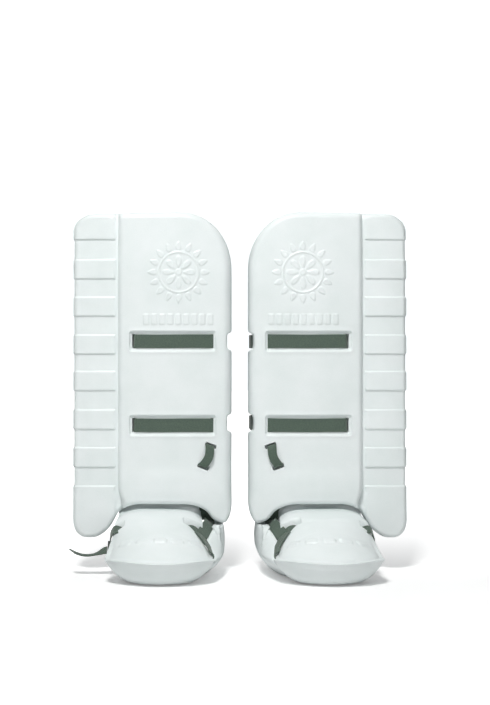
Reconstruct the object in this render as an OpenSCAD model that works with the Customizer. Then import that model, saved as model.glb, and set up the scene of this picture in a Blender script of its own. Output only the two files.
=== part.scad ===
// A pair of moulded-foam goalkeeper leg pads: two leg guards, each standing on
// its kicker, with webbing straps, buckles and rivets. Millimetres, +Z up.
// The wearer faces -Y, so the wearer's left leg is at +X and the right leg at -X.
// Every module draws the left-leg piece; the right-leg piece is its mirror.

/* [Leg guard] */
// Height of the guard's top edge above the floor
guard_top = 739; // [735:1:743]
// Height of the guard's outer bottom corner above the floor
guard_bottom = 70; // [68:1:72]
// Distance from the middle plane to the guard's inner edge
inner_x = 18; // [17:1:19]
// Distance from the middle plane to the outer edge of the wing
outer_x = 342; // [340:1:344]
// Where the crowned main face ends and the wing begins
wing_x = 250; // [249:1:252]
// Depth of the front face, in front of the shin plane
face_y = 58; // [56:1:60]
// Height of the bottom arch over the kicker
arch_z = 143; // [142:1:145]
// Pitch of the raised bars on the wing
bar_pitch = 39; // [38.8:0.1:39.2]

/* [Straps] */
// Width of the guard webbing
web_w = 28; // [26:1:28]
// Thickness of the webbing
web_t = 2.4; // [2:0.1:2.6]
// Height of the upper strap
upper_z = 473; // [470:1:476]
// Height of the lower strap
lower_z = 301; // [299:1:303]

/* [Leg channel] */
// Radius of the channel that takes the leg
channel_r = 60; // [58:1:60]
// Centre of the leg channel from the middle plane
channel_x = 155; // [154:1:156]

/* [Kicker] */
// Centre of the kicker from the middle plane
kicker_x = 165; // [164:1:166]
// Wall thickness of the kicker
kicker_t = 14; // [13:1:15]
// Radius of the heel strap rivet
rivet_r = 4; // [4:0.5:5]

/* [Hidden] */
$fn = 48;

foam_color = [0.87, 0.90, 0.90];
soft_color = [0.62, 0.65, 0.65];
web_color = [0.33, 0.39, 0.34];
plastic_color = [0.10, 0.11, 0.11];

shift_y = 47.75;      // puts the origin under the middle of the whole pair

// ---------- helpers ----------
function unit(v) = v / norm(v);
function flat(v) = [v[0], v[1]];

// curve that cuts a corner, starting and ending `cut` away from it
function bend(before, corner, after, cut, steps) = let (
    start = corner + unit(before - corner) * cut,
    end = corner + unit(after - corner) * cut)
    [for (k = [0 : steps]) let (u = k / steps)
        (1 - u) * (1 - u) * start + 2 * u * (1 - u) * corner + u * u * end];

// closed outline with rounded corners: each vertex is [x, y, cut length]
function rounded(v, steps = 6) = let (count = len(v)) [for (i = [0 : count - 1])
    each (v[i][2] == 0 ? [flat(v[i])] :
        bend(flat(v[(i + count - 1) % count]), flat(v[i]), flat(v[(i + 1) % count]),
            v[i][2], steps))];

// open path with rounded corners, same vertices; the two ends stay sharp
function smooth(v, steps = 4) = [for (i = [0 : len(v) - 1])
    each (i == 0 || i == len(v) - 1 ? [flat(v[i])] :
        bend(flat(v[i - 1]), flat(v[i]), flat(v[i + 1]), v[i][2], steps))];

// mitred normal of a path at point i
function mitre(path, i) = let (
    before = i > 0 ? unit(path[i] - path[i - 1]) : unit(path[1] - path[0]),
    after = i < len(path) - 1 ? unit(path[i + 1] - path[i]) : before,
    along = unit(before + after))
    [-along[1], along[0]] / max(0.5, along * before);

// closed outline of a band along a path
function band(path, thickness) = concat(
    [for (i = [0 : len(path) - 1]) path[i] + mitre(path, i) * thickness / 2],
    [for (i = [len(path) - 1 : -1 : 0]) path[i] - mitre(path, i) * thickness / 2]);

// extrude an outline drawn in the named plane between two positions on the third axis
module in_xz(y0, y1)
    translate([0, y1, 0]) rotate([90, 0, 0]) linear_extrude(y1 - y0) children();
module in_yz(x0, x1)
    translate([x0, 0, 0]) rotate([90, 0, 90]) linear_extrude(x1 - x0) children();
module in_xy(z0, z1)
    translate([0, 0, z0]) linear_extrude(z1 - z0) children();
module slab(x0, x1, y0, y1, z0, z1)
    translate([x0, y0, z0]) cube([x1 - x0, y1 - y0, z1 - z0]);

// ---------- guard strap route ----------
mid_x = (inner_x + wing_x) / 2 - 1;   // highest line of the crowned face
crown_drop = 7;       // how far the face falls back...
crown_reach = 115;    // ...at this distance from mid_x
// front of the crowned main face at x
function crown(x) = -face_y + crown_drop * pow((x - mid_x) / crown_reach, 2);

buckle_y = 134.75;    // webbing line behind the calf
// webbing points that the slots follow
inner_bend = [28, -16];
outer_dive = [225, -51.2];
outer_joint = [229.3, -8];
outer_rear = [241.5, 47];
lift = 3.4;           // webbing line behind the crown near the windows' ends
// whole webbing route seen from above: side notch, tunnel, front window, outer slot
strap_route = smooth([
    [150, buckle_y, 0], [76, buckle_y, 20], [27, 96, 30], [25.5, 0, 8],
    [each inner_bend, 6], [57.5, -51.5, 4], [70, crown(70) + lift, 6],
    [mid_x, crown(mid_x) + 3.2, 40], [205, crown(205) + lift, 8],
    [each outer_dive, 4], [each outer_joint, 6], [each outer_rear, 10],
    [264, 84, 18], [258, 126, 12], [238, buckle_y, 7], [180, buckle_y, 0]]);

slot_half = web_w / 2 + 1.5;     // half height of the webbing slots
recess_half = web_w / 2 + 3;     // half height of the front recess and edge notch

// ---------- guard shell ----------
joint_y = -16;        // plane where the shell meets the core
below_guard = 60;     // extrusion ends beyond the guard's outline
above_guard = 760;
bar_z0 = guard_bottom + 105;     // top of the lowest bar

// outline seen from the front: x, z, cut
guard_front = rounded([
    [inner_x - 4, 104, 18], [44, 104, 10], [72, arch_z, 26], [247, arch_z, 30],
    [277, guard_bottom, 24], [outer_x + 4, guard_bottom - 2, 42],
    [outer_x + 4, guard_top - 4, 45], [inner_x - 4, guard_top, 78]]);
// outline seen from above: inner edge, crowned face, wing
shell_plan = concat(
    [[inner_x + 2, joint_y], [inner_x, -28], [inner_x + 1, -38], [inner_x + 4, -44.5],
     [inner_x + 10, -49], [inner_x + 20, -51.6]],
    [for (x = [inner_x + 30 : 10 : wing_x - 12]) [x, crown(x)]],
    [[wing_x - 6, -50], [wing_x - 2, -46], [wing_x, -41], [wing_x + 3, -38],
     [outer_x - 14, -37], [outer_x - 6, -34], [outer_x - 1, -28], [outer_x, -15],
     [outer_x - 1, 1], [outer_x - 6, 5], [wing_x + 4, 5], [wing_x + 4, joint_y]]);
// raised bar seen from above
bar_plan = [[wing_x + 7, -20], [wing_x + 8, -41.5], [outer_x - 13, -40.5],
    [outer_x - 3, -36], [outer_x + 2.5, -28], [outer_x + 3, -14], [outer_x, -8]];

// everything cut from the shell for one strap, centred on z = 0
module strap_cuts() {
    recess_in_x = 54;
    recess_out_x = 228;
    recess_y = 6;     // depth of the recess behind the crown
    front_y = -80;    // clear of the face
    // shallow recess on the front
    in_xy(-recess_half, recess_half) polygon(concat(
        [for (x = [recess_in_x : 14 : recess_out_x]) [x, crown(x) + recess_y]],
        [[recess_out_x, crown(recess_out_x) + recess_y],
         [recess_out_x, front_y], [recess_in_x, front_y]]));
    // slots that the webbing dives through
    in_xy(-slot_half, slot_half) polygon(band([[61, -55.7], inner_bend, [24.5, -8]], 5.6));
    in_xy(-slot_half, slot_half) polygon(band([[224.3, -58], outer_dive, outer_joint], 6));
    // notch in the inner edge
    slab(inner_x - 10, 28.6, front_y, 0, -recess_half, recess_half);
}

// tilted frame of the ankle strap loop, low on the inner side of the face
module ankle_frame() translate([69, 0, 240]) rotate([0, -20, 0]) children();

module guard_shell() color(foam_color) difference() {
    intersection() {
        union() {
            in_xy(below_guard, above_guard) polygon(shell_plan);
            in_xy(below_guard, bar_z0) polygon(bar_plan);
            for (k = [0 : 5])
                in_xy(bar_z0 + bar_pitch * (2 * k + 1), bar_z0 + bar_pitch * (2 * k + 2))
                    polygon(bar_plan);
            in_xy(bar_z0 + bar_pitch * 13, above_guard) polygon(bar_plan);
        }
        in_xz(-90, 60) polygon(guard_front);
    }
    for (z = [upper_z, lower_z]) translate([0, 0, z]) strap_cuts();
    // two slots for the ankle strap loop
    ankle_frame() for (z = [-22.5, 22.5]) slab(-11, 11, -90, 0, z - 4, z + 4);
}

// ---------- guard core, cushions and calf wings ----------
rear_y = 45;          // rear face of the guard core
core_in_x = 32;       // inner side of the core
core_bottom = 176;
core_top = guard_top - 17;
core_front_y = joint_y + 0.05;
channel_y = 50;       // axis of the leg channel
wing_in_x = 82;       // calf wing hinge lines
wing_out_x = 228;
wing_hinge_y = 41;
hinge_r = 8;          // radius of the hinge groove
wing_z0 = 210;        // ends of the calf wings
wing_z1 = 450;
groove_z0 = wing_z0 - 5;
groove_z1 = wing_z1 + 5;

core_front = rounded([[core_in_x, core_bottom, 12], [wing_x, core_bottom, 12],
    [wing_x, core_top, 30], [core_in_x, core_top, 66]]);
core_plan = rounded([[core_in_x, core_front_y, 3], [wing_x, core_front_y, 3],
    [wing_x, rear_y, 14], [core_in_x, rear_y, 14]], 4);

module guard_core() color(soft_color) difference() {
    intersection() {
        in_xy(170, 740) polygon(core_plan);
        in_xz(-30, 60) polygon(core_front);
    }
    translate([channel_x, channel_y, 150]) cylinder(r = channel_r, h = 620, $fn = 96);
    // outer strap slots
    for (z = [upper_z, lower_z])
        in_xy(z - slot_half, z + slot_half)
            polygon(band([[229, -20], outer_joint, outer_rear, [243.5, 60]], 5.2));
    // hinge grooves, open to the rear
    for (x = [wing_in_x, wing_out_x]) {
        translate([x, wing_hinge_y, groove_z0]) cylinder(r = hinge_r, h = groove_z1 - groove_z0);
        slab(x - 6.8, x + 6.8, wing_hinge_y, 60, groove_z0, groove_z1);
    }
    // pocket for the ankle strap behind the shell
    slab(48, 92, -17, -7.5, 170, 290);
}

// front part of a tube that lines the leg channel
module cushion(z0, z1) difference() {
    translate([channel_x, channel_y, z0]) cylinder(r = channel_r - 0.4, h = z1 - z0, $fn = 96);
    translate([channel_x, channel_y, z0 - 1])
        cylinder(r = channel_r - 12, h = z1 - z0 + 2, $fn = 96);
    slab(channel_x - 80, channel_x + 80, 42, 130, z0 - 1, z1 + 1);
}
module knee_cushion() color(soft_color) cushion(480, 700);
module shin_cushion() color(soft_color) cushion(190, 466);

// fin on a round hinge bead; its rear edge leans to +X (lean = 1) or -X (lean = -1)
module calf_wing(x, lean) translate([x, 0, 0]) {
    neck_y = wing_hinge_y + 10.5;
    bow = 3 * lean;
    translate([0, wing_hinge_y, wing_z0]) cylinder(r = hinge_r - 0.08, h = wing_z1 - wing_z0);
    in_xy(wing_z0, wing_z1) polygon(rounded([
        [-2, wing_hinge_y, 0], [2, wing_hinge_y, 0], [2, neck_y, 0], [6, neck_y, 2],
        [6 - bow, 80, 8], [4 + bow, 112, 3.5], [-4 + bow, 112, 3.5], [-6 - bow, 80, 8],
        [-6, neck_y, 2], [-2, neck_y, 0]], 3));
}
module calf_wing_inner() color(soft_color) calf_wing(wing_in_x, 1);
module calf_wing_outer() color(soft_color) calf_wing(wing_out_x, -1);

// ---------- guard straps and buckles ----------
module strap(z) color(web_color)
    in_xy(z - web_w / 2, z + web_w / 2) polygon(band(strap_route, web_t));

// slot that takes the webbing through a buckle part
module web_passage(x0, x1)
    slab(x0, x1, 133.2, 136.4, -web_w / 2 - 0.4, web_w / 2 + 0.4);
// plate outline about z = 0, with one corner cut at x0 and another at x1
function plate(x0, x1, half, cut0, cut1) = rounded([
    [x0, -half, cut0], [x1, -half, cut1], [x1, half, cut1], [x0, half, cut0]]);

// takes the prongs at its +X mouth and the webbing at the other end
module socket(z) color(plastic_color) translate([0, 0, z]) difference() {
    in_xz(125, 138) polygon(plate(140, 172, 19, 4, 3));
    slab(148, 173, 127.2, 132.3, -13, 13);
    web_passage(139, 154);
    // windows over the prong tips
    for (side = [-1, 1]) slab(153, 161, 124, 132.3, side * 16 - 4, side * 16 + 4);
}
module plug(z) color(plastic_color) translate([0, 0, z]) difference() {
    union() {
        in_xz(125, 138) polygon(plate(172.4, 194, 19, 3, 4));
        // barbed side prongs and the straight middle one
        for (side = [-1, 1]) in_xz(127.5, 132) polygon([[173, side * 12.6],
            [156, side * 12.8], [150, side * 8.5], [156, side * 8], [173, side * 8]]);
        slab(150, 173, 127.5, 132, -2.5, 2.5);
    }
    web_passage(171, 196);
    slab(181, 186, 120, 134, -web_w / 2 - 0.4, web_w / 2 + 0.4);
}
module slider(z) color(plastic_color) translate([0, 0, z]) difference() {
    in_xz(131, 138.5) polygon(plate(102, 118, 18, 3, 3));
    web_passage(100, 120);
}

// narrow loop low on the inner side of the face, and its run down to the kicker
module ankle_strap() color(web_color) {
    ankle_frame() in_yz(-9, 9) polygon(band([[-12, -22.4], [-55, -22.4], [-61, -18],
        [-62, 0], [-61, 18], [-55, 22.4], [-12, 22.4]], web_t));
    slab(60, 80, -12 - web_t, -12, 108, 268);
}
// lower run of the ankle strap: from under the guard to the slit beside the instep
module ankle_strap_lower() color(web_color)
    in_yz(54, 73) polygon(band(smooth([[-4, 100.5, 0], [-40, 94, 10], [-64, 79, 0]]), web_t));

// ---------- kicker ----------
// stations along the foot, toe to heel:
// y, half width at the edge, edge height, crown height, half width at the bottom, bottom height
stations = [
    [-234, 30, 43, 46, 20, 28],
    [-222, 66, 44, 52, 44, 12],
    [-200, 96, 42, 63, 58, 3],
    [-175, 108, 41, 76, 72, 0],
    [-140, 104, 62, 96, 80, 0],
    [-105, 94, 94, 116, 82, 0],
    [-72, 86, 101, 126, 82, 0],
    [-38, 83, 104, 130, 82, 0],
    [-10, 84, 106, 134, 82, 0],
    [24, 84, 104, 134, 82, 0]];

// cross-section at a station, shrunk by inset; its edge is lowered by edge_drop
function section(station, inset, edge_drop, bottom_z) = let (
    y = station[0],
    edge_half = station[1] - inset,
    edge_z = station[2] - edge_drop,
    crown_z = station[3] - inset,
    bottom_half = station[4] - inset,
    side_half = (bottom_half + edge_half) / 2 + 1,
    side_z = (bottom_z + edge_z) / 2)
    concat(
        [[-bottom_half, y, bottom_z], [-side_half, y, side_z], [-edge_half, y, edge_z - 5]],
        [for (u = [-1 : 0.25 : 1])
            [u * (edge_half - 3), y, edge_z + (crown_z - edge_z) * (1 - u * u)]],
        [[edge_half, y, edge_z - 5], [side_half, y, side_z], [bottom_half, y, bottom_z]]);

// solid through rows of points; a ring row runs out along one side of a U-shaped
// band and back along the other, so its end caps are strips of triangles
module loft(rows, ring = false) {
    count = len(rows[0]);
    last = (len(rows) - 1) * count;
    polyhedron(points = [for (row = rows) each row], faces = concat(
        ring ? [for (k = [0 : count / 2 - 2]) let (far = count - 1 - k) each [
            [k, k + 1, far - 1], [k, far - 1, far],
            [last + k, last + far - 1, last + k + 1], [last + k, last + far, last + far - 1]]] :
        [[for (i = [0 : count - 1]) i], [for (i = [count - 1 : -1 : 0]) last + i]],
        [for (k = [0 : len(rows) - 2], i = [0 : count - 1])
            let (here = k * count + i, next = k * count + (i + 1) % count)
            each [[here, here + count, next + count], [here, next + count, next]]]));
}

module foot_body() loft([for (station = stations) section(station, 0, 0, station[5])]);
// cavity: starts further back and runs out through the bottom and the heel
function cavity_section(station) =
    section(station, kicker_t, 0.35 * kicker_t, -6 - kicker_t / 2);
module foot_cavity() loft(concat(
    [for (i = [2 : len(stations) - 1])
        cavity_section(stations[i] + [i == 2 ? kicker_t / 3 : 0, 0, 0, 0, 0, 0])],
    [cavity_section([60 + kicker_t / 2, 84, 104, 134, 82, 0])]));

// flare on the inner side of the kicker, from above (x, y) and from the side (y, z)
flare_plan = band(smooth([[-98, -196, 0], [-115, -160, 20], [-120, -90, 30], [-120, 48, 0]]), 12);
flare_side = rounded([[-204, 16, 4], [-180, 0, 12], [48, 0, 10], [48, 97, 20], [-78, 97, 24],
    [-180, 58, 10], [-204, 46, 3]]);

rivet_y = 14;
rivet_z = 60;
instep_half = 13;     // half width of the instep strap
sole_y0 = -61;        // front and rear edges of the sole strap
sole_y1 = -33;

module kicker_frame() translate([kicker_x, 0, 0]) children();
// frame of the instep strap, leaning with the slope of the instep
module tilted() translate([0, -105, 96]) rotate([26, 0, 0]) translate([0, 0, -96]) children();
// rivet axis, turned so that its z runs along +X
module rivet_frame(x = 0) translate([x, rivet_y, rivet_z]) rotate([0, 90, 0]) children();

module kicker_shell() color(foam_color) kicker_frame() difference() {
    union() {
        difference() {
            foot_body();
            foot_cavity();
            // ankle opening at the rear
            in_xz(4, 40) polygon([[-66, 60], [66, 60], [66, 200], [-66, 200]]);
        }
        intersection() {
            in_xy(-1, 120) polygon(flare_plan);
            in_yz(-140, -80) polygon(flare_side);
        }
        // rivet bosses
        for (side = [-1, 1]) rivet_frame(side * 80) cylinder(r = 11, h = 11, center = true);
    }
    // strap notches in both edges of the instep
    tilted() {
        slab(66, 105, -instep_half - 2.5, instep_half + 2.5, 66, 126);
        slab(-105, -52, -instep_half - 2.5, instep_half + 2.5, 66, 126);
    }
    for (side = [-1, 1]) rivet_frame(side * 80) cylinder(r = rivet_r, h = 60, center = true);
    // slots for the sole strap
    slab(-105, 104, sole_y0 - 1, sole_y1 + 1, 3, 8);
}

// soft lining under the instep: a U-shaped band lofted in one piece, open below
function liner_side(station, gap) = section(station, kicker_t + gap, kicker_t + gap, 13);
function liner_row(station) = let (inside = liner_side(station, 19.5))
    concat(liner_side(station, 12.5), [for (k = [len(inside) - 1 : -1 : 0]) inside[k]]);
module kicker_liner() color(soft_color) kicker_frame()
    loft([for (i = [4 : 8]) liner_row(stations[i])], true);

// instep strap path in its tilted frame: x, z, cut
instep_route = smooth([[-97, 22, 0], [-97, 80, 8], [-88, 93, 6], [-70, 94, 6], [-49, 82.5, 7],
    [-24, 92, 8], [0, 97, 8], [22, 93, 8], [44, 84.5, 8], [63, 74.5, 5], [77, 87, 5],
    [91, 94, 5], [98, 80, 6], [101, 52, 0]], 3);
module instep_strap() color(web_color) kicker_frame() tilted()
    in_xz(-instep_half, instep_half) polygon(band(instep_route, web_t));

// ladder-lock low on the outer side; the free tail leaves it
module ladder_lock() color(plastic_color) kicker_frame() tilted() difference() {
    in_yz(97.4, 106) polygon(rounded([[-18, 34, 3], [18, 34, 3], [18, 56, 3], [-18, 56, 3]]));
    slab(99.3, 102.7, -13.5, 13.5, 47, 60);
    slab(95, 108, -13.5, 13.5, 39, 43);
}

// free tail with a round bead where it starts
tail_start = [108.5, 44];
module strap_tail(corners) kicker_frame() tilted() {
    in_xz(-instep_half, instep_half)
        polygon(band(smooth(concat([[each tail_start, 0]], corners)), web_t));
    translate([tail_start[0], 0, tail_start[1]]) rotate([90, 0, 0])
        cylinder(r = 2, h = 2 * instep_half, center = true);
}
// the right tail sticks out sideways, the left one hangs down
module strap_tail_out() color(web_color)
    strap_tail([[116, 40, 4], [146, 20, 16], [178, 33, 0]]);
module strap_tail_flat() color(web_color)
    strap_tail([[109.5, 34, 6], [110, 6, 0]]);

module sole_strap() color(web_color) kicker_frame()
    for (span = [[-92, -84], [-84, 84], [84, 92]])
        slab(span[0], span[1], sole_y0, sole_y1, 3.4, 6.4);

heel_route = smooth([[-87.3, 0, 0], [-87.3, 70, 34], [0, 112, 60], [87.3, 70, 34],
    [87.3, 0, 0]], 5);
module heel_strap() color(web_color) kicker_frame() difference() {
    in_xy(rivet_z - 12, rivet_z + 12) polygon(band(heel_route, web_t));
    rivet_frame() cylinder(r = rivet_r + 0.06, h = 240, center = true);
}
// shank with a head at each end
module heel_rivets() color(plastic_color) kicker_frame()
    for (side = [0, 1]) mirror([side, 0, 0]) rivet_frame() {
        translate([0, 0, 66]) cylinder(r = rivet_r, h = 23);
        for (x = [67.4, 88.8]) translate([0, 0, x]) cylinder(r = 7.5, h = 2.4);
    }

// ---------- the pair ----------
module left() translate([0, shift_y, 0]) children();
module right() mirror([1, 0, 0]) left() children();

left() guard_shell();  // left_guard_shell
left() guard_core();  // left_guard_core
left() knee_cushion();  // left_knee_cushion
left() shin_cushion();  // left_shin_cushion
left() strap(upper_z);  // left_upper_strap
left() socket(upper_z);  // left_upper_buckle_socket
left() plug(upper_z);  // left_upper_buckle_plug
left() slider(upper_z);  // left_upper_slider
left() strap(lower_z);  // left_lower_strap
left() socket(lower_z);  // left_lower_buckle_socket
left() plug(lower_z);  // left_lower_buckle_plug
left() slider(lower_z);  // left_lower_slider
left() ankle_strap();  // left_ankle_strap
left() calf_wing_inner();  // left_calf_wing_inner
left() calf_wing_outer();  // left_calf_wing_outer
left() kicker_shell();  // left_kicker_shell
left() kicker_liner();  // left_kicker_liner
left() instep_strap();  // left_instep_strap
left() ladder_lock();  // left_ladder_lock
left() strap_tail_flat();  // left_strap_tail
left() ankle_strap_lower();  // left_ankle_strap_lower
left() sole_strap();  // left_sole_strap
left() heel_strap();  // left_heel_strap
left() heel_rivets();  // left_heel_rivets
right() guard_shell();  // right_guard_shell
right() guard_core();  // right_guard_core
right() knee_cushion();  // right_knee_cushion
right() shin_cushion();  // right_shin_cushion
right() strap(upper_z);  // right_upper_strap
right() socket(upper_z);  // right_upper_buckle_socket
right() plug(upper_z);  // right_upper_buckle_plug
right() slider(upper_z);  // right_upper_slider
right() strap(lower_z);  // right_lower_strap
right() socket(lower_z);  // right_lower_buckle_socket
right() plug(lower_z);  // right_lower_buckle_plug
right() slider(lower_z);  // right_lower_slider
right() ankle_strap();  // right_ankle_strap
right() calf_wing_inner();  // right_calf_wing_inner
right() calf_wing_outer();  // right_calf_wing_outer
right() kicker_shell();  // right_kicker_shell
right() kicker_liner();  // right_kicker_liner
right() instep_strap();  // right_instep_strap
right() ladder_lock();  // right_ladder_lock
right() strap_tail_out();  // right_strap_tail
right() ankle_strap_lower();  // right_ankle_strap_lower
right() sole_strap();  // right_sole_strap
right() heel_strap();  // right_heel_strap
right() heel_rivets();  // right_heel_rivets
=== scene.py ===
"""A pair of moulded foam leg guards: on each leg a shin guard, with straps and buckles behind it,
and a kicker over the foot.

Shapes are drawn for the left leg (+X) in millimetres: x outwards from the middle plane between
the legs, y = 0 at the shin plane with the front towards -y, z up. The right leg is the mirror
image. Kicker parts are drawn with x = 0 at the middle of the foot, inner side towards -x.
"""
import math

import bpy
import bmesh
import numpy as np
from mathutils import Vector, Matrix, geometry


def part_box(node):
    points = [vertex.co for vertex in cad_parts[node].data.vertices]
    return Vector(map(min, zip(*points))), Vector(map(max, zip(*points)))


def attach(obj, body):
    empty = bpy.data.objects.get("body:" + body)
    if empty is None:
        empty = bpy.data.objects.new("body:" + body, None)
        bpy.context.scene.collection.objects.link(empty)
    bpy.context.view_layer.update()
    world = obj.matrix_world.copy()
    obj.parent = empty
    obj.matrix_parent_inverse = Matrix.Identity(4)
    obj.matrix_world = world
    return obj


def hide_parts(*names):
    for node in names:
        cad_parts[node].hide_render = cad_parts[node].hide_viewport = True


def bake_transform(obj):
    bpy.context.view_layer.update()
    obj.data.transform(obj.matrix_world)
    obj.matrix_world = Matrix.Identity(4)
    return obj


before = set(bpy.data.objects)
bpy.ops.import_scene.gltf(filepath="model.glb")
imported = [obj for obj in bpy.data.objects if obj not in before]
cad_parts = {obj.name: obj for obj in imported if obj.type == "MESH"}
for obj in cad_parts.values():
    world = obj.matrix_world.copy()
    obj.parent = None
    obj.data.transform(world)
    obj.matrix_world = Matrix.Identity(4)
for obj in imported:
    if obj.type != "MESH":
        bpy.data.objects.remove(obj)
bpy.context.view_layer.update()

MM = 0.001
SHIN_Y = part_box("left_guard_shell")[0].y * 1000.0 + 58.0
FOOT_X = (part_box("left_kicker_liner")[0].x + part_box("left_kicker_liner")[1].x) * 500.0
SIGN = {"left": 1.0, "right": -1.0}
UP = (0, 0, 1)
UPPER_Z, LOWER_Z = 473.0, 301.0       # heights of the two calf straps
STRAP_Y = 134.75                      # straps and buckles behind the calf
LEG_X, LEG_Y, LEG_R = 155.0, 50.0, 60  # channel for the leg
BEAD_INNER, BEAD_OUTER, BEAD_Y = 82.0, 228.0, 41   # beads that hold the calf wings


# ------------------------------------------------------------------ curves
def smooth(t):
    t = np.clip(t, 0.0, 1.0)
    return t * t * (3 - 2 * t)


def rise(value, start, run):
    """0 at start, 1 a run further on; a negative run goes the other way"""
    return smooth((value - start) / run)


def mask(distance, soft):
    """1 inside an outline, 0 outside it"""
    return smooth(0.5 - distance / soft)


def window(value, low, high, soft):
    return smooth((value - low) / soft + 0.5) * smooth((high - value) / soft + 0.5)


def bell(offset, width, power=2):
    return np.exp(-(offset / width) ** power)


def interp(value, stations):
    return np.interp(value, *np.array(stations, float).T)


def smooth_line(stations, width):
    """a piecewise-linear curve, sampled every millimetre and averaged over its neighbours"""
    places = np.arange(-276, 100, 1.0)
    kernel = np.hanning(2 * width + 1)
    kernel /= kernel.sum()
    padded = np.pad(interp(places, stations), width, mode="edge")
    return places, np.convolve(padded, kernel, mode="valid")


def unit(vectors):
    return vectors / (np.linalg.norm(vectors, axis=-1, keepdims=True) + 1e-12)


def arc_length(path):
    return np.concatenate([[0], np.cumsum(np.linalg.norm(np.diff(path, axis=0), axis=1))])


def sample(path, lengths, spots):
    return np.stack([np.interp(spots, lengths, column) for column in path.T], 1)


def resample(path, step, closed=False):
    path = np.asarray(path, float)
    if closed:
        path = np.vstack([path, path[:1]])
    moved = np.linalg.norm(np.diff(path, axis=0), axis=1) > 1e-6
    path = path[np.concatenate([[True], moved])]
    lengths = arc_length(path)
    count = max(2, int(round(lengths[-1] / step)))
    out = sample(path, lengths, np.linspace(0, lengths[-1], count + 1))
    return out[:-1] if closed else out


def cut_corner(corner, other, cut):
    return corner + (other - corner) / np.linalg.norm(other - corner) * cut


def round_loop(corners, step=2.0):
    """closed outline with rounded corners, each (x, y, cut before, cut after)"""
    out = []
    for i, (x, y, before, after) in enumerate(corners):
        corner = np.array((x, y), float)
        start = cut_corner(corner, np.array(corners[i - 1][:2], float), before)
        end = cut_corner(corner, np.array(corners[(i + 1) % len(corners)][:2], float), after)
        pull1 = start + (corner - start) * 0.55
        pull2 = end + (corner - end) * 0.55
        count = max(4, int((before + after) / step))
        for k in range(count + 1):
            t = k / count
            out.append((1 - t) ** 3 * start + 3 * t * (1 - t) ** 2 * pull1
                       + 3 * t * t * (1 - t) * pull2 + t ** 3 * end)
    return resample(np.array(out), step, closed=True)


def rect_loop(x, y, half_x, half_y, cut, step):
    return round_loop([(x - half_x, y - half_y, cut, cut), (x + half_x, y - half_y, cut, cut),
                       (x + half_x, y + half_y, cut, cut), (x - half_x, y + half_y, cut, cut)],
                      step)


def soft_path(corners, step):
    """open path with rounded corners, each (x, y, z, cut)"""
    out = []
    for i, entry in enumerate(corners):
        corner, cut = np.array(entry[:3], float), entry[3]
        if i in (0, len(corners) - 1):
            out.append(corner)
            continue
        start = cut_corner(corner, np.array(corners[i - 1][:3], float), cut)
        end = cut_corner(corner, np.array(corners[i + 1][:3], float), cut)
        count = max(3, int(cut * 2 / step) + 2)
        for k in range(count + 1):
            t = k / count
            out.append((1 - t) ** 2 * start + 2 * t * (1 - t) * corner + t * t * end)
    return resample(np.array(out), step)


def arc(x, y, radius, angles):
    return [(x + radius * math.cos(angle), y + radius * math.sin(angle)) for angle in angles]


# ------------------------------------------------------------------ flat outlines
BLOCK = 3000        # points handled at once, to bound the memory


def distance_to(points, loop):
    """distance from each point to a closed outline"""
    edges = np.roll(loop, -1, axis=0) - loop
    squares = (edges * edges).sum(1) + 1e-12
    (x1, y1), (dx, dy) = loop.T, edges.T
    out = np.empty(len(points))
    for i in range(0, len(points), BLOCK):
        x, y = points[i:i + BLOCK, :1], points[i:i + BLOCK, 1:]
        share = np.clip(((x - x1) * dx + (y - y1) * dy) / squares, 0, 1)
        gap_x, gap_y = x1 + share * dx - x, y1 + share * dy - y
        out[i:i + BLOCK] = np.sqrt((gap_x * gap_x + gap_y * gap_y).min(1))
    return out


def inside(points, loop):
    """even-odd test of each point against a closed outline"""
    out = np.zeros(len(points), bool)
    x1, y1 = loop.T
    x2, y2 = np.roll(loop, -1, axis=0).T
    for i in range(0, len(points), BLOCK):
        x, y = points[i:i + BLOCK, :1], points[i:i + BLOCK, 1:]
        spans = (y1 > y) != (y2 > y)
        with np.errstate(divide="ignore", invalid="ignore"):
            crossing = (x2 - x1) * (y - y1) / (y2 - y1) + x1
        out[i:i + BLOCK] = (spans & (x < crossing)).sum(1) % 2 == 1
    return out


def within(points, loop, margin):
    """the points inside a loop by more than a margin"""
    points = points[inside(points, loop)]
    return points[distance_to(points, loop) > margin]


def signed_area(loop):
    x, y = loop.T
    return 0.5 * np.sum(x * np.roll(y, -1) - np.roll(x, -1) * y)


def inward(loop):
    """unit normals of a closed outline, pointing inside"""
    along = unit(np.roll(loop, -1, 0) - np.roll(loop, 1, 0))
    normals = np.stack([-along[:, 1], along[:, 0]], 1)
    return normals if signed_area(loop) > 0 else -normals


def grid(xs, ys):
    across, up = np.meshgrid(xs, ys)
    return np.column_stack([across.ravel(), up.ravel()])


def rect_distance(x, z, mid_x, mid_z, half_x, half_z, radius):
    """signed distance to a rounded rectangle, negative inside"""
    over_x = np.abs(x - mid_x) - half_x + radius
    over_z = np.abs(z - mid_z) - half_z + radius
    outside = np.hypot(np.maximum(over_x, 0), np.maximum(over_z, 0))
    return outside + np.minimum(np.maximum(over_x, over_z), 0) - radius


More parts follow.
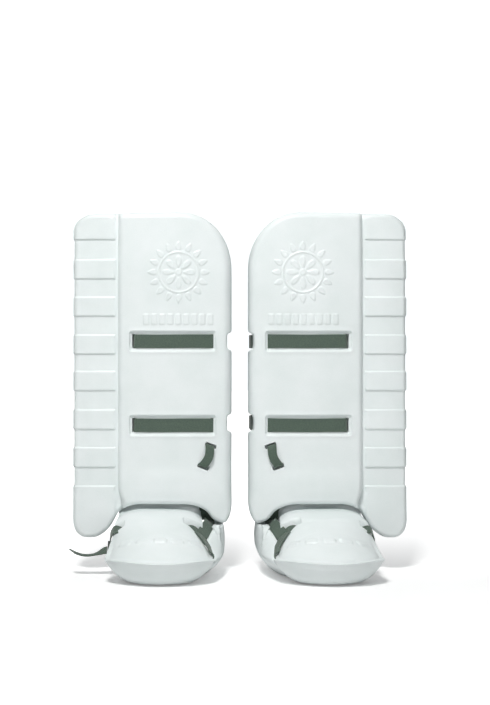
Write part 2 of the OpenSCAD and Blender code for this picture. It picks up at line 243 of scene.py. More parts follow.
def fill_loop(loop, extra, merge_gap):
    """triangulates an outline with points inside it; the outline's points come first, in order"""
    count = len(loop)
    flat = [Vector(point) for point in np.vstack([loop, extra]).tolist()]
    edges = [(i, (i + 1) % count) for i in range(count)]
    made, _, faces, sources, _, _ = geometry.delaunay_2d_cdt(
        flat, edges, [list(range(count))], 1, merge_gap)
    where = {src: i for i, group in enumerate(sources) for src in group if src < count}
    order = [where[i] for i in range(count)]
    taken = set(order)
    order += [i for i in range(len(made)) if i not in taken]
    renumber = {old: new for new, old in enumerate(order)}
    faces = [tuple(renumber[i] for i in face) for face in faces]
    faces = [face for face in faces if len(set(face)) == len(face)]
    return np.array([tuple(point) for point in made])[order], faces


def shift_fill(faces, count, loop_start, extra_start):
    """renumbers a filled outline whose loop and inner points are stored apart"""
    return [tuple(loop_start + i if i < count else extra_start + i - count for i in face)
            for face in faces]


# ------------------------------------------------------------------ materials
def new_material(name):
    made = bpy.data.materials.new(name)
    made.use_nodes = True
    return made, made.node_tree, made.node_tree.nodes["Principled BSDF"]


def feed(tree, target, inputs):
    """links sockets and sets plain values"""
    for key, value in inputs.items():
        if isinstance(value, bpy.types.NodeSocket):
            tree.links.new(value, target.inputs[key])
        else:
            target.inputs[key].default_value = value


def node(tree, kind, inputs=None, **settings):
    made = tree.nodes.new("ShaderNode" + kind)
    for key, value in settings.items():
        setattr(made, key, value)
    feed(tree, made, inputs or {})
    return made


def noise(tree, place, scale, detail, roughness=0.5):
    return node(tree, "TexNoise", {"Vector": place, "Scale": scale, "Detail": detail,
                                   "Roughness": roughness}).outputs["Fac"]


def calc(tree, operation, first, second=None):
    inputs = {0: first} if second is None else {0: first, 1: second}
    return node(tree, "Math", inputs, operation=operation).outputs["Value"]


def ramp(tree, factor, stops):
    made = node(tree, "ValToRGB", {"Fac": factor})
    elements = made.color_ramp.elements
    elements.remove(elements[1])
    elements[0].position, elements[0].color = stops[0]
    for position, colour in stops[1:]:
        elements.new(position).color = colour
    return made.outputs["Color"]


def multiply(tree, amount, first, second):
    return node(tree, "Mix", {0: amount, 6: first, 7: second},
                data_type="RGBA", blend_type="MULTIPLY").outputs[2]


def remap(tree, value, low, high):
    return node(tree, "MapRange",
                {"Value": value, "To Min": low, "To Max": high}).outputs["Result"]


def bump(tree, height, strength, distance, under=None, **settings):
    inputs = {"Height": height, "Strength": strength, "Distance": distance}
    if under:
        inputs["Normal"] = under
    return node(tree, "Bump", inputs, **settings).outputs["Normal"]


def linear(colour):
    """sRGB 0-255 to linear RGBA"""
    shares = [value / 255.0 for value in colour]
    return tuple(s / 12.92 if s <= 0.04045 else ((s + 0.055) / 1.055) ** 2.4
                 for s in shares) + (1.0,)


def grey(value):
    return (value, value, value, 1)


def foam_material(name, light, dark, rough, grain=1.0):
    made, tree, surface = new_material(name)
    place = node(tree, "TexCoord").outputs["Object"]
    broad = noise(tree, place, scale=9.0, detail=3.0, roughness=0.55)
    fine = noise(tree, place, scale=620.0, detail=2.0, roughness=0.6)
    medium = noise(tree, place, scale=70.0, detail=4.0)
    tint = ramp(tree, broad, [(0.30, linear(dark)), (0.62, linear(light))])
    speck = ramp(tree, fine, [(0.35, (0.965, 0.97, 0.97, 1)), (0.6, grey(1))])
    pores = bump(tree, fine, strength=0.10 * grain, distance=0.0006)
    feed(tree, surface, {
        "Base Color": multiply(tree, 0.8, tint, speck),
        "Roughness": remap(tree, medium, low=rough - 0.05, high=rough + 0.07),
        "Normal": bump(tree, medium, strength=0.10 * grain, distance=0.0015, under=pores),
        "Specular IOR Level": 0.42})
    return made


def webbing_material(name, base, dark):
    """woven webbing with painted shade in the weave's low places and a painted highlight on its
    ribs; the UV map holds metres along and across the strap
    """
    made, tree, surface = new_material(name)
    rib_pitch, warp_pitch, slope = 3.0, 1.7, 1.6    # of the weave, in mm; ribs lean by the slope
    uv_map = node(tree, "UVMap").outputs["UV"]
    split = node(tree, "SeparateXYZ", {"Vector": uv_map})
    along = calc(tree, "MULTIPLY", split.outputs["X"], 1000.0)
    across = calc(tree, "MULTIPLY", split.outputs["Y"], 1000.0)

    def rib(operation):
        lean = calc(tree, operation, along, calc(tree, "MULTIPLY", across, slope))
        return calc(tree, "SINE", calc(tree, "MULTIPLY", lean, 2 * math.pi / rib_pitch))
    ribs = calc(tree, "MAXIMUM", rib("ADD"), rib("SUBTRACT"))
    warp = calc(tree, "SINE", calc(tree, "MULTIPLY", across, 2 * math.pi / warp_pitch))
    weave = calc(tree, "ADD", calc(tree, "MULTIPLY", ribs, 0.6),
                 calc(tree, "MULTIPLY", warp, 0.35))
    height = calc(tree, "ADD", calc(tree, "MULTIPLY", weave, 0.5), 0.5)
    fuzz = noise(tree, node(tree, "TexCoord").outputs["Object"], scale=420.0, detail=3.0)
    # painted highlight colour for the tops of the weave's ribs
    painted_crest_highlight = linear(tuple(min(255, value * 1.22) for value in base))
    # the colour follows the weave's height: painted shade in the low places, the painted highlight
    # on the tops
    tint = ramp(tree, height, [(0.0, linear(dark)), (0.75, linear(base)), (1.0, painted_crest_highlight)])
    speck = ramp(tree, fuzz, [(0.3, grey(0.72)), (0.7, grey(1.1))])
    feed(tree, surface, {
        "Base Color": multiply(tree, 0.7, tint, speck),
        "Roughness": 0.78, "Sheen Weight": 0.25, "Sheen Roughness": 0.5,
        "Normal": bump(tree, height, strength=0.55, distance=0.0008)})
    return made


def fabric_material(name, base, dark):
    made, tree, surface = new_material(name)
    place = node(tree, "TexCoord").outputs["Object"]
    knit = node(tree, "TexVoronoi", {"Scale": 520.0, "Vector": place}).outputs["Distance"]
    # the colour follows the knit's height: painted shade where the knit lies low
    tint = ramp(tree, knit, [(0.1, linear(base)), (0.75, linear(dark))])
    patches = ramp(tree, noise(tree, place, scale=60.0, detail=4.0),
                   [(0.3, grey(0.8)), (0.7, grey(1.1))])
    feed(tree, surface, {
        "Base Color": multiply(tree, 0.9, tint, patches),
        "Roughness": 0.85, "Sheen Weight": 0.4,
        "Normal": bump(tree, knit, strength=0.5, distance=0.0008, invert=True)})
    return made


def plastic_material(name, base):
    made, tree, surface = new_material(name)
    place = node(tree, "TexCoord").outputs["Object"]
    fine = noise(tree, place, scale=900.0, detail=2.0)
    broad = noise(tree, place, scale=35.0, detail=4.0)
    lighter = tuple(value * 1.35 for value in base)
    feed(tree, surface, {
        "Base Color": ramp(tree, broad, [(0.3, linear(base)), (0.7, linear(lighter))]),
        "Roughness": remap(tree, broad, low=0.34, high=0.52),
        "Normal": bump(tree, fine, strength=0.2, distance=0.0003)})
    return made


# each finish is a material and its slot
FOAM = (foam_material("moulded_foam", light=(234, 240, 240), dark=(226, 234, 233), rough=0.40),
        "shell_foam")
CORE = (foam_material("cut_foam", light=(206, 213, 212), dark=(188, 197, 196), rough=0.72,
                      grain=2.4), "core_foam")
# the webbing's dark colour is the painted shade in the weave's low places
WEB = (webbing_material("sage_webbing", base=(84, 102, 89), dark=(44, 55, 48)), "webbing")
# the knit lining's and the thread's dark colours are painted shade in the knit's low places
CUSHION = (fabric_material("knit_lining", base=(98, 104, 103), dark=(50, 55, 55)),
           "cushion_foam")
THREAD = (fabric_material("thread", base=(120, 132, 124), dark=(70, 80, 74)), "webbing")
PLASTIC = (plastic_material("buckle_plastic", base=(30, 33, 33)), "buckle_plastic")


# ------------------------------------------------------------------ mesh building
def add(side, name, shape, finish, body=None, replaces=None):
    """one piece of a leg; shape is (points, faces) or (points, faces, uv)"""
    points, faces, *uv_map = shape
    points = np.asarray(points, float).copy()
    points[:, 0] *= SIGN[side]
    points[:, 1] += SHIN_Y
    if side == "right":
        faces = [tuple(face)[::-1] for face in faces]
    mesh = bpy.data.meshes.new(f"{side}_{name}")
    mesh.from_pydata((points * MM).tolist(), [], [tuple(int(i) for i in face) for face in faces])
    mesh.validate()
    mesh.update()
    mesh.polygons.foreach_set("use_smooth", [True] * len(mesh.polygons))
    if uv_map:
        corners = np.empty(len(mesh.loops), np.int32)
        mesh.loops.foreach_get("vertex_index", corners)
        layer = mesh.uv_layers.new(name="UVMap")
        layer.data.foreach_set("uv", (uv_map[0][corners] * MM).astype(np.float32).ravel())
    made = bpy.data.objects.new(f"{side}_{name}", mesh)
    bpy.context.scene.collection.objects.link(made)
    material, slot = finish
    mesh.materials.append(material)
    if body:
        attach(made, f"{side}_{body}")
    if replaces:
        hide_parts(f"{side}_{replaces}")
    return made


def add_foot(side, name, shape, *options):
    """a piece drawn round the middle of the foot"""
    points, *rest = shape
    return add(side, name, (points + (FOOT_X, 0, 0), *rest), *options)


def outward(points, faces):
    """flips the faces if a closed mesh is inside out"""
    volume = 0.0
    for face in faces:
        first = points[face[0]]
        for k in range(1, len(face) - 1):
            volume += np.dot(first, np.cross(points[face[k]], points[face[k + 1]]))
    return faces if volume > 0 else [tuple(face)[::-1] for face in faces]


def take_mesh(work):
    """recalculates the normals, then gives points and faces"""
    bmesh.ops.recalc_face_normals(work, faces=work.faces)
    work.verts.index_update()
    points = np.array([tuple(vert.co) for vert in work.verts])
    faces = [tuple(vert.index for vert in face.verts) for face in work.faces]
    work.free()
    return points, faces


def face_outwards(points, faces, weld=None):
    work = bmesh.new()
    verts = [work.verts.new(point) for point in points]
    for face in faces:
        try:
            work.faces.new([verts[i] for i in face])
        except ValueError:      # a face that is there already or uses a point twice
            pass
    if weld:
        bmesh.ops.remove_doubles(work, verts=work.verts, dist=weld)
    return take_mesh(work)


def loft(rows, closed=True):
    """rows of equal length joined by quads"""
    count = len(rows[0])
    points = np.array([tuple(point) for row in rows for point in row])
    faces = []
    for k in range(len(rows) - 1):
        for i in range(count if closed else count - 1):
            a, b = k * count + i, k * count + (i + 1) % count
            faces.append((a, a + count, b + count, b))
    return points, faces


def strip_cap(first, count, flip):
    """closes a flattened ring whose second half runs back along its first"""
    for i in range(count // 2 - 1):
        face = (first + i, first + i + 1, first + count - 2 - i, first + count - 1 - i)
        yield face[::-1] if flip else face


def loft_folded(rows):
    """lofted flattened rings, both ends closed"""
    points, faces = loft(rows)
    count = len(rows[0])
    faces += strip_cap(0, count, False)
    faces += strip_cap((len(rows) - 1) * count, count, True)
    return points, outward(points, faces)


def sweep_up(profile, z0, z1, radius, step, cap_step):
    """an XY profile swept upwards, its two ends rounded and capped flat"""
    normals = inward(profile)
    angles = [math.pi / 2 * k / 5 for k in range(6)]
    bend = [(radius * (1 - math.sin(t)), radius * (1 - math.cos(t))) for t in angles]
    straight = z1 - z0 - 2 * radius
    count = max(2, int(straight / step))
    levels = [(inset, z0 + lift) for inset, lift in bend]
    levels += [(0.0, z0 + radius + straight * k / count) for k in range(1, count)]
    levels += [(inset, z1 - lift) for inset, lift in bend[::-1]]
    rings = [np.column_stack([profile + normals * inset, np.full(len(profile), z)])
             for inset, z in levels]
    points, faces = loft(rings)
    points = list(points)
    count = len(profile)
    for start, ring, z in ((0, rings[0], z0), ((len(rings) - 1) * count, rings[-1], z1)):
        loop = ring[:, :2]
        low, high = loop.min(0), loop.max(0)
        extra = grid(np.arange(low[0], high[0], cap_step), np.arange(low[1], high[1], cap_step))
        flat, fill = fill_loop(loop, within(extra, loop, cap_step * 0.45), 0.01)
        faces += shift_fill(fill, count, start, len(points))
        points += [(x, y, z) for x, y in flat[count:]]
    return face_outwards(points, faces)


# half of the strap's section: place across, measured in from an edge, and share of thickness
WEB_EDGE = [(0, 0.0), (0.25, 0.62), (1.0, 1.0), (2.4, 1.0), (3.2, 0.86)]
WEB_MIDDLE = [(-0.5, 0.9), (-0.2, 0.92), (0.2, 0.92), (0.5, 0.9)]    # as shares of the half width


def ribbon(path, across, width, thick, slant=0.0):
    """woven strap along a path, with its UV map in millimetres; slant skews the far end"""
    count = len(path)
    half = width / 2
    along = unit(np.gradient(path, axis=0))
    across = np.broadcast_to(np.asarray(across, float), (count, 3))
    across = unit(across - (across * along).sum(1)[:, None] * along)
    normals = np.cross(along, across)
    lengths = arc_length(path)
    outline = [(inset - half, share) for inset, share in WEB_EDGE]
    outline += [(place * half, share) for place, share in WEB_MIDDLE]
    outline += [(half - inset, share) for inset, share in WEB_EDGE[::-1]]
    top_w, top_h = np.array(outline).T
    top_h = thick / 2 * top_h
    ring_w = np.concatenate([top_w, top_w[-2:0:-1]])
    ring_h = np.concatenate([top_h, -top_h[-2:0:-1]])
    skew = slant * rise(lengths, lengths[-1] - slant - 6, slant + 6)
    shift = skew[:, None] * (ring_w / half) * 0.5
    points = (path[:, None] + across[:, None] * ring_w[:, None]
              + normals[:, None] * ring_h[:, None] + along[:, None] * shift[..., None])
    under = np.where(ring_h >= 0, 0, 60)      # the back of the strap lies apart in the UV map
    uv_map = np.stack([lengths[:, None] + shift, np.tile(ring_w + under, (count, 1))], 2)
    _, faces = loft(points)
    ring = len(ring_w)
    for start, flip in ((0, False), ((count - 1) * ring, True)):
        for i in range(len(top_w) - 1):
            face = (start + i, start + i + 1,
                    start + (ring - i - 1) % ring, start + (ring - i) % ring)
            face = tuple(dict.fromkeys(face))
            faces.append(face[::-1] if flip else face)
    points = points.reshape(-1, 3)
    return points, outward(points, faces), uv_map.reshape(-1, 2)


def turn(share, first, last):
    """directions that go from first to last as the share goes from 0 to 1"""
    share = share[:, None]
    return (1 - share) * np.asarray(first) + share * np.asarray(last)


def rounded_box(centre, size, radius, segments, rotation):
    work = bmesh.new()
    bmesh.ops.create_cube(work, size=1.0)
    for vert in work.verts:
        vert.co = Vector([place * length for place, length in zip(vert.co, size)])
    bmesh.ops.bevel(work, geom=list(work.edges), offset=min(radius, min(size) * 0.48),
                    segments=segments, profile=0.5, affect="EDGES")
    for vert in work.verts:
        vert.co = rotation @ vert.co + Vector(centre)
    return take_mesh(work)


def merge(parts):
    points, faces, start = [], [], 0
    for part_points, part_faces in parts:
        points.append(part_points)
        faces += [tuple(i + start for i in face) for face in part_faces]
        start += len(part_points)
    return np.vstack(points), faces


def boxes(table, z=0):
    """rounded boxes: (x, y, height above z, three sizes, edge radius[, degrees round y])"""
    parts = []
    for place_x, place_y, lift, size_x, size_y, size_z, radius, *degrees in table:
        rotation = Matrix.Rotation(math.radians(sum(degrees)), 3, "Y")
        parts.append(rounded_box((place_x, place_y, z + lift), (size_x, size_y, size_z), radius,
                                 3, rotation))
    return merge(parts)


def lathe(profile, centre, axis, segments=28):
    """a profile of (radius, height) turned round an axis, closed at both ends"""
    axis = Vector(axis).normalized()
    side = axis.orthogonal().normalized()
    other = axis.cross(side)
    angles = np.linspace(0, 2 * math.pi, segments, endpoint=False)
    rows = [[Vector(centre) + axis * height
             + (side * math.cos(t) + other * math.sin(t)) * max(radius, 1e-4) for t in angles]
            for radius, height in profile]
    points, faces = loft(rows)
    last = (len(rows) - 1) * segments
    middle = len(points)
    points = np.vstack([points, np.mean(np.asarray(rows[0]), 0), np.mean(np.asarray(rows[-1]), 0)])
    for i in range(segments):
        after = (i + 1) % segments
        faces += [(middle, i, after), (middle + 1, last + after, last + i)]
    return points, outward(points, faces)


# ------------------------------------------------------------------ guard shell
STEP_X = 250.5                  # step between the main face and the outer wing
# raised bars of the wing: low and high z
BARS = [(70, 175), (214, 254), (292, 332), (372, 411), (447, 486), (525, 564), (602, 641),
        (682.8, 760)]
NOTCHES = [UPPER_Z, LOWER_Z + 4]                # middles of the notches in the inner edge
NOTCH_REACH = 26
# half of a notch from its mouth: depth from the edge, height from the middle
NOTCH_PROFILE = [(0.0, 25.0), (0.4, 22.2), (1.6, 19.6), (3.6, 17.8), (6.0, 16.9), (8.2, 15.8),
                 (9.6, 13.6), (10.2, 9.0), (10.4, 4.5), (10.4, 0)]
INNER_X = 17                    # the shell's inner edge
WINDOW_X, WINDOW_HALF_X, WINDOW_HALF_Z, WINDOW_CORNER = 139.3, 89.4, 21.4, 6.5
SLOTS = ((56.0, 61.4), (215.2, 221.6))          # from x to x, in each strap window
SLOT_HALF_Z = 14.5
LOOP_X, LOOP_Z, LOOP_TILT = 69, 238, math.radians(20)    # the diagonal strap loop
LOOP_SLOTS, LOOP_HALF_U, LOOP_HALF_V = (-22.6, 22.6), 11.2, 3.7
EMBLEM_X, EMBLEM_Z = 127, 614
RELIEF = 1.5                    # height of the raised ornament
# corners (x, z, cut before, cut after)
OUTLINE = round_loop([
    (INNER_X, 102, 46, 17), (52, 101, 17, 16), (80, 140, 24, 36), (240, 140, 36, 26),
    (280, 69, 34, 26), (343, 68, 26, 40), (342, 736, 38, 42), (INNER_X, 739, 104, 118)], 1.7)


def step_line(z):
    return STEP_X - 9 * rise(z, 175, -40.0)


def crown(x):
    """y of the gently bowed main face"""
    return -58 + 7 * ((x - 133) / 115.0) ** 2


def bars(z, soft):
    return np.max([window(z, low, high, soft) for low, high in BARS], axis=0)


def into_loop(x, z):
    dx, dz = x - LOOP_X, z - LOOP_Z
    cos, sin = math.cos(LOOP_TILT), math.sin(LOOP_TILT)
    return dx * cos + dz * sin, -dx * sin + dz * cos


def out_of_loop(across, up):
    cos, sin = math.cos(LOOP_TILT), math.sin(LOOP_TILT)
    return LOOP_X + across * cos - up * sin, LOOP_Z + across * sin + up * cos


def emblem(x, z):
    """rosette: a ring, a centre, eight petals and a wreath of sixteen leaves"""
    dx, dz = x - EMBLEM_X, z - EMBLEM_Z
    radius = np.hypot(dx, dz)
    angle = np.arctan2(dz, dx)

    def petals(count, ring, half_length, taper, size):
        folded = np.mod(angle + math.pi / count, 2 * math.pi / count) - math.pi / count
        out, side = radius * np.cos(folded) - ring, radius * np.sin(folded)
        shape = np.sqrt((out / half_length) ** 2 + (side / (5.6 * (1.0 + taper * out))) ** 2)
        return smooth((size - shape) * 2.6)
    return RELIEF * np.max([bell(radius - 41, 2.0, 4),
                            petals(8, ring=21.5, half_length=12.5, taper=0.030, size=1.12),
                            mask(radius - 6.4, 2.4) * (radius < 9),
                            petals(16, ring=54.0, half_length=9.6, taper=-0.045, size=1.1)],
                           axis=0)


def details(x, z):
    """height of the ornament: the emblem and a row of nine small blocks under it"""
    height = np.where(np.hypot(x - EMBLEM_X, z - EMBLEM_Z) < 68, emblem(x, z), 0.0)
    for i in range(9):
        gap = rect_distance(x, z, 128 + (i - 4) * 16.4, 518, 5.6, 10.8, 2.8)
        height = np.maximum(height, RELIEF * mask(gap, 2.4))
    return height


def quarter_round(distance, width, depth):
    share = np.clip(distance / width, 0, 1)
    return depth * (1 - np.sqrt(np.clip(1 - (1 - share) ** 2, 0, 1)))


def front_y(x, z, to_rim, to_notch):
    """y of the front, given the distances to the outline and to the notches"""
    past = x - step_line(z)
    knee = rise(z, 590, 150.0)
    # the face comes forward a little near the bottom and leans back at the knee
    main = crown(x) - 7.0 * rise(z, 235, -95.0) * (1 - 0.35 * ((x - 140) / 120.0) ** 2)
    main = main + 5.0 * knee - 2.6 * bell(x - 152, 60.0, 4) * bell(z - 180, 25.0, 4)
    radius = 11.0       # rounding of the main face where it drops to the wing
    into = np.clip(radius + past, 0, radius)
    main = main + radius - np.sqrt(np.clip(radius * radius - into ** 2, 0, None))
    wing = -38.0 + 4.5 * rise(x, 300, 45.0) + 4.0 * knee - 3.0 * rise(z, 170, -80.0)
    wing = wing + 1.4 - 3.3 * bars(z, 3.4) * rise(x, STEP_X + 5.0, 3.6)
    groove = 0.8 * bell(past - 1.6, 1.8)
    y = np.where(past < 0, np.minimum(main, wing + 3), wing + groove)
    y = y - details(x, z) * (past < -6)
    # strap windows with a soft lip, and a slot near each end
    for level in (UPPER_Z, LOWER_Z):
        gap = rect_distance(x, z, WINDOW_X, level, WINDOW_HALF_X, WINDOW_HALF_Z, WINDOW_CORNER)
        y = y + 4.2 * mask(gap + 2.0, 4.2) - 0.9 * bell(gap - 1.4, 2.2)
        for x0, x1 in SLOTS:
            gap = rect_distance(x, z, (x0 + x1) / 2, level, (x1 - x0) / 2, SLOT_HALF_Z, 1.6)
            y = y + 17.0 * mask(gap, 1.5)
    # slots of the diagonal loop, and a shallow hollow between them
    across, up = into_loop(x, z)
    for slot in LOOP_SLOTS:
        gap = rect_distance(across, up, 0.0, slot, LOOP_HALF_U, LOOP_HALF_V, 2.0)
        y = y + 15.0 * mask(gap, 1.5) - 0.7 * bell(gap - 2.2, 1.8)
    y = y + 1.2 * bell(across, 9.5, 4) * bell(up, 20.0, 4)
    # rounding towards the outline: fuller on the inner side and the top, tight on the wing
    on_top, on_wing = rise(z, 640, 60.0), rise(x, 262, 12.0)
    on_inner = rise(x, 70, -30.0) * rise(z, 118, 50.0) * (1 - on_top)
    on_top = on_top * (1 - on_wing)
    width = 9.0 + 11.0 * on_inner + 4.0 * on_top + 0.5 * on_wing
    depth = 10.0 + 13.0 * on_inner + 3.0 * on_top - 1.0 * on_wing
    return y + np.hypot(quarter_round(to_rim, width, depth), quarter_round(to_notch, 6.0, 7.0))


def notch_at(x, z):
    """the middle of the notch that a point of the inner edge falls in, or None"""
    near = (mid for mid in NOTCHES if x < INNER_X + 2 and abs(z - mid) < NOTCH_REACH)
    return next(near, None)


def guard_outline():
    """the outline with bar ends standing proud on the outer edge and notches in the inner"""
    edge = OUTLINE.copy()
    edge[:, 0] += rise(edge[:, 0], 325, 12.0) * (3.0 * bars(edge[:, 1], 5.0) - 0.6)
    notched = []
    for i, (x, z) in enumerate(edge):
        if notch_at(x, z) is not None:
            continue
        notched.append((x, z))
        # the outline runs down the inner edge, so it enters a notch from above
        middle = notch_at(*edge[(i + 1) % len(edge)])
        if middle is not None:
            notched += [(INNER_X + dx, middle + dz) for dx, dz in NOTCH_PROFILE]
            notched += [(INNER_X + dx, middle - dz) for dx, dz in NOTCH_PROFILE[-2::-1]]
    return resample(np.array(notched), 1.6, closed=True)


def feature_points(outline):
    """rows of points that follow the details of the front"""
    rows = []
    for end in (end for bar in BARS for end in bar if 80 < end < 735):
        for dz in (-3.6, -2.2, -1.2, -0.4, 0.4, 1.2, 2.2, 3.6):
            xs = np.concatenate([np.arange(STEP_X + 4, STEP_X + 10, 0.9),
                                 np.arange(STEP_X + 10, 342, 3.0)])
            rows.append(grid(xs, [end + dz]))
    zs = np.arange(150, 731, 3.0)
    for dx in (-11, -10.5, -9.6, -8.0, -6.2, -4.4, -2.8, -1.6, -0.7, -0.15,
               0.25, 1.0, 2.0, 3.2, 4.6, 6.4):
        rows.append(np.column_stack([step_line(zs) + dx, zs]))
    for level in (UPPER_Z, LOWER_Z):
        for grow in (-4.6, -3.9, -3.0, -2.0, -1.0, 0.0, 1.0, 1.9, 3.0, 4.4):
            rows.append(rect_loop(WINDOW_X, level, WINDOW_HALF_X + grow, WINDOW_HALF_Z + grow,
                                  max(1.4, WINDOW_CORNER + grow), 2.0))
        for x0, x1 in SLOTS:
            for grow in (-1.2, -0.5, 0.1, 0.7):
                rows.append(rect_loop((x0 + x1) / 2, level, (x1 - x0) / 2 + grow,
                                      SLOT_HALF_Z + grow, 1.5, 1.3))
    for slot in LOOP_SLOTS:
        for grow in (-1.1, -0.4, 0.2, 0.8, 1.8, 3.2):
            loop = rect_loop(0, slot, LOOP_HALF_U + grow, LOOP_HALF_V + grow, 1.8, 1.2)
            rows.append(np.column_stack(out_of_loop(loop[:, 0], loop[:, 1])))
    fine = 1.25
    reach = 66
    disc = grid(np.arange(EMBLEM_X - reach, EMBLEM_X + reach, fine),
                np.arange(EMBLEM_Z - reach, EMBLEM_Z + reach, fine))
    rows.append(disc[np.hypot(disc[:, 0] - EMBLEM_X, disc[:, 1] - EMBLEM_Z) < reach])
    rows.append(grid(np.arange(52, 205, fine), np.arange(503, 534, fine)))
    # rings inside the outline for the rounded edge
    normals = inward(outline)
    for inset in (0.25, 0.8, 1.7, 2.9, 4.4, 6.2, 8.2, 10.4, 13.0, 16.0, 19.5):
        ring = (outline + normals * inset)[::1 if inset < 5 else 2]
        rows.append(within(ring, outline, inset * 0.93 - 0.05))
    return np.vstack(rows)


def guard_front():
    """the outline, and the triangulated front as (x, z), faces and y"""
    outline = guard_outline()
    features = feature_points(outline)
    # a plain staggered grid fills the cells that have no feature in or beside them
    cell = 2.4
    crowded = {(i + di, j + dj) for i, j in set(map(tuple, np.floor(features / cell)))
               for di in (-1, 0, 1) for dj in (-1, 0, 1)}
    plain = grid(np.arange(18, 344, 4.0), np.arange(72, 738, 4.0))
    plain[:, 0] += np.where((np.floor(plain[:, 1] / 4) % 2) > 0, 2.0, 0.0)
    free = [tuple(place) not in crowded for place in np.floor(plain / cell)]
    extra = within(np.vstack([features, plain[np.array(free)]]), outline, 0.2)
    flat, faces = fill_loop(outline, extra, 0.2)
    to_rim = distance_to(flat, OUTLINE)
    to_rim[~inside(flat, OUTLINE)] = 0.0
    to_notch = np.full(len(flat), 99.0)
    near = flat[:, 0] < 60
    height = np.abs(outline[:, 1:] - NOTCHES).min(1)
    notches = outline[(outline[:, 0] < 28.5) & (height < 25.5)]
    gaps = np.sqrt(((flat[near][:, None, :] - notches[None, :, :]) ** 2).sum(2))
    to_notch[near] = gaps.min(1)
    return outline, flat, faces, front_y(flat[:, 0], flat[:, 1], to_rim, to_notch)


def rear_y(x):
    return -16 + 21.0 * rise(x, 247, 7.0)


def guard_shell():
    outline, flat, faces, y = guard_front()
    count = len(outline)
    points = [np.column_stack([flat[:, 0], y, flat[:, 1]])]
    # side walls, then the rounding of the rear edge
    radius = 3.2
    normals = inward(outline)
    front, rear = y[:count], rear_y(outline[:, 0])
    rings = [(0.0, front + (rear - radius - front) * k / 5.0) for k in range(1, 6)]
    for k in range(1, 5):
        angle = math.pi / 2 * k / 4
        rings.append((radius * (1 - math.cos(angle)), rear - radius + radius * math.sin(angle)))
    last, start = 0, len(flat)
    for inset, ring_y in rings:
        ring = outline + normals * inset
        points.append(np.column_stack([ring[:, 0], ring_y, ring[:, 1]]))
        for i in range(count):
            j = (i + 1) % count
            faces.append((last + i, last + j, start + j, start + i))
        last, start = start, start + count
    # rear face
    ring = outline + normals * radius
    xs = np.concatenate([np.arange(26, 244, 14.0), [246, 248, 250, 252, 254, 257],
                         np.arange(264, 340, 12.0)])
    extra = within(grid(xs, np.arange(80, 735, 14.0)), ring, 4)
    flat, fill = fill_loop(ring, extra, 0.05)
    x, z = flat[count:].T
    points.append(np.column_stack([x, rear_y(x), z]))
    faces += shift_fill(fill, count, last, start)
    points, faces = face_outwards(np.vstack(points), faces)
    return points, outward(points, faces)


# ------------------------------------------------------------------ guard core
CORE_TOP = 722


def core_profile():
    corners = round_loop([(32, -15.95, 4, 4), (250, -15.95, 4, 4), (250, 45, 15, 15),
                          (32, 45, 15, 15)], 3.0)
    outer = [tuple(p) for p in corners if p[0] > 140 and p[1] < 44.8]
    inner = [tuple(p) for p in corners if p[0] < 140 and p[1] < 44.8]
    outer.sort(key=lambda p: p[1] + 0.01 * p[0])
    inner.sort(key=lambda p: -p[1] + 0.01 * p[0])
    # the rear edge is cut by two bead grooves and the leg channel
    groove = np.linspace(math.radians(30), math.radians(-210), 22)
    channel = np.linspace(math.radians(-4.8), math.radians(-175.2), 60)
    rear = [(235.2, 44.98)] + arc(BEAD_OUTER, BEAD_Y, 7.9, groove) + [(219.5, 45), (217.0, 44.9)]
    rear += arc(LEG_X, LEG_Y, LEG_R, channel) + [(93.0, 44.9), (90.5, 45)]
    rear += arc(BEAD_INNER, BEAD_Y, 7.9, groove) + [(73.0, 45), (60.0, 45), (48.0, 44.98)]
    return np.array(outer + rear + inner)


def guard_core():
    points, faces = sweep_up(core_profile(), 176, CORE_TOP, 2.6, step=12, cap_step=9.0)
    x = points[:, 0]

    def lower_top(z, start, drop):
        span = CORE_TOP - start
        return np.where(z > start, start + (z - start) * (span - drop) / span, z)
    # the top is rounded down towards the inner and the outer side
    z = lower_top(points[:, 2], 600, 66.0 * np.clip((98 - x) / 66.0, 0, 1) ** 2.2)
    z = lower_top(z, 640, 20.0 * np.clip((x - 225) / 25.0, 0, 1) ** 2.2)
    points[:, 2] = z
    # shallow bands across the back
    band = sum(window(z, mid - 3.0, mid + 3.0, 4.0) for mid in (250, 380, 545, 640))
    back = (points[:, 1] > 43.5) & ((x < 70) | (x > 240))
    points[:, 1] -= np.where(back, 2.2 * band, 0.0)
    return points, faces


# ------------------------------------------------------------------ cushions
CUSHION_START, CUSHION_SWEEP = 188.5, 163      # degrees round the leg channel
CLOTH = dict(quality=6, mass=0.25, tension_stiffness=9, compression_stiffness=6,
             shear_stiffness=5, bending_stiffness=0.25, use_pressure=True,
             uniform_pressure_force=9.0, vertex_group_mass="pin", pin_stiffness=1.0)
CLOTH_FRAMES = 16
CLOTH_REACH = 5.0      # furthest a point may move


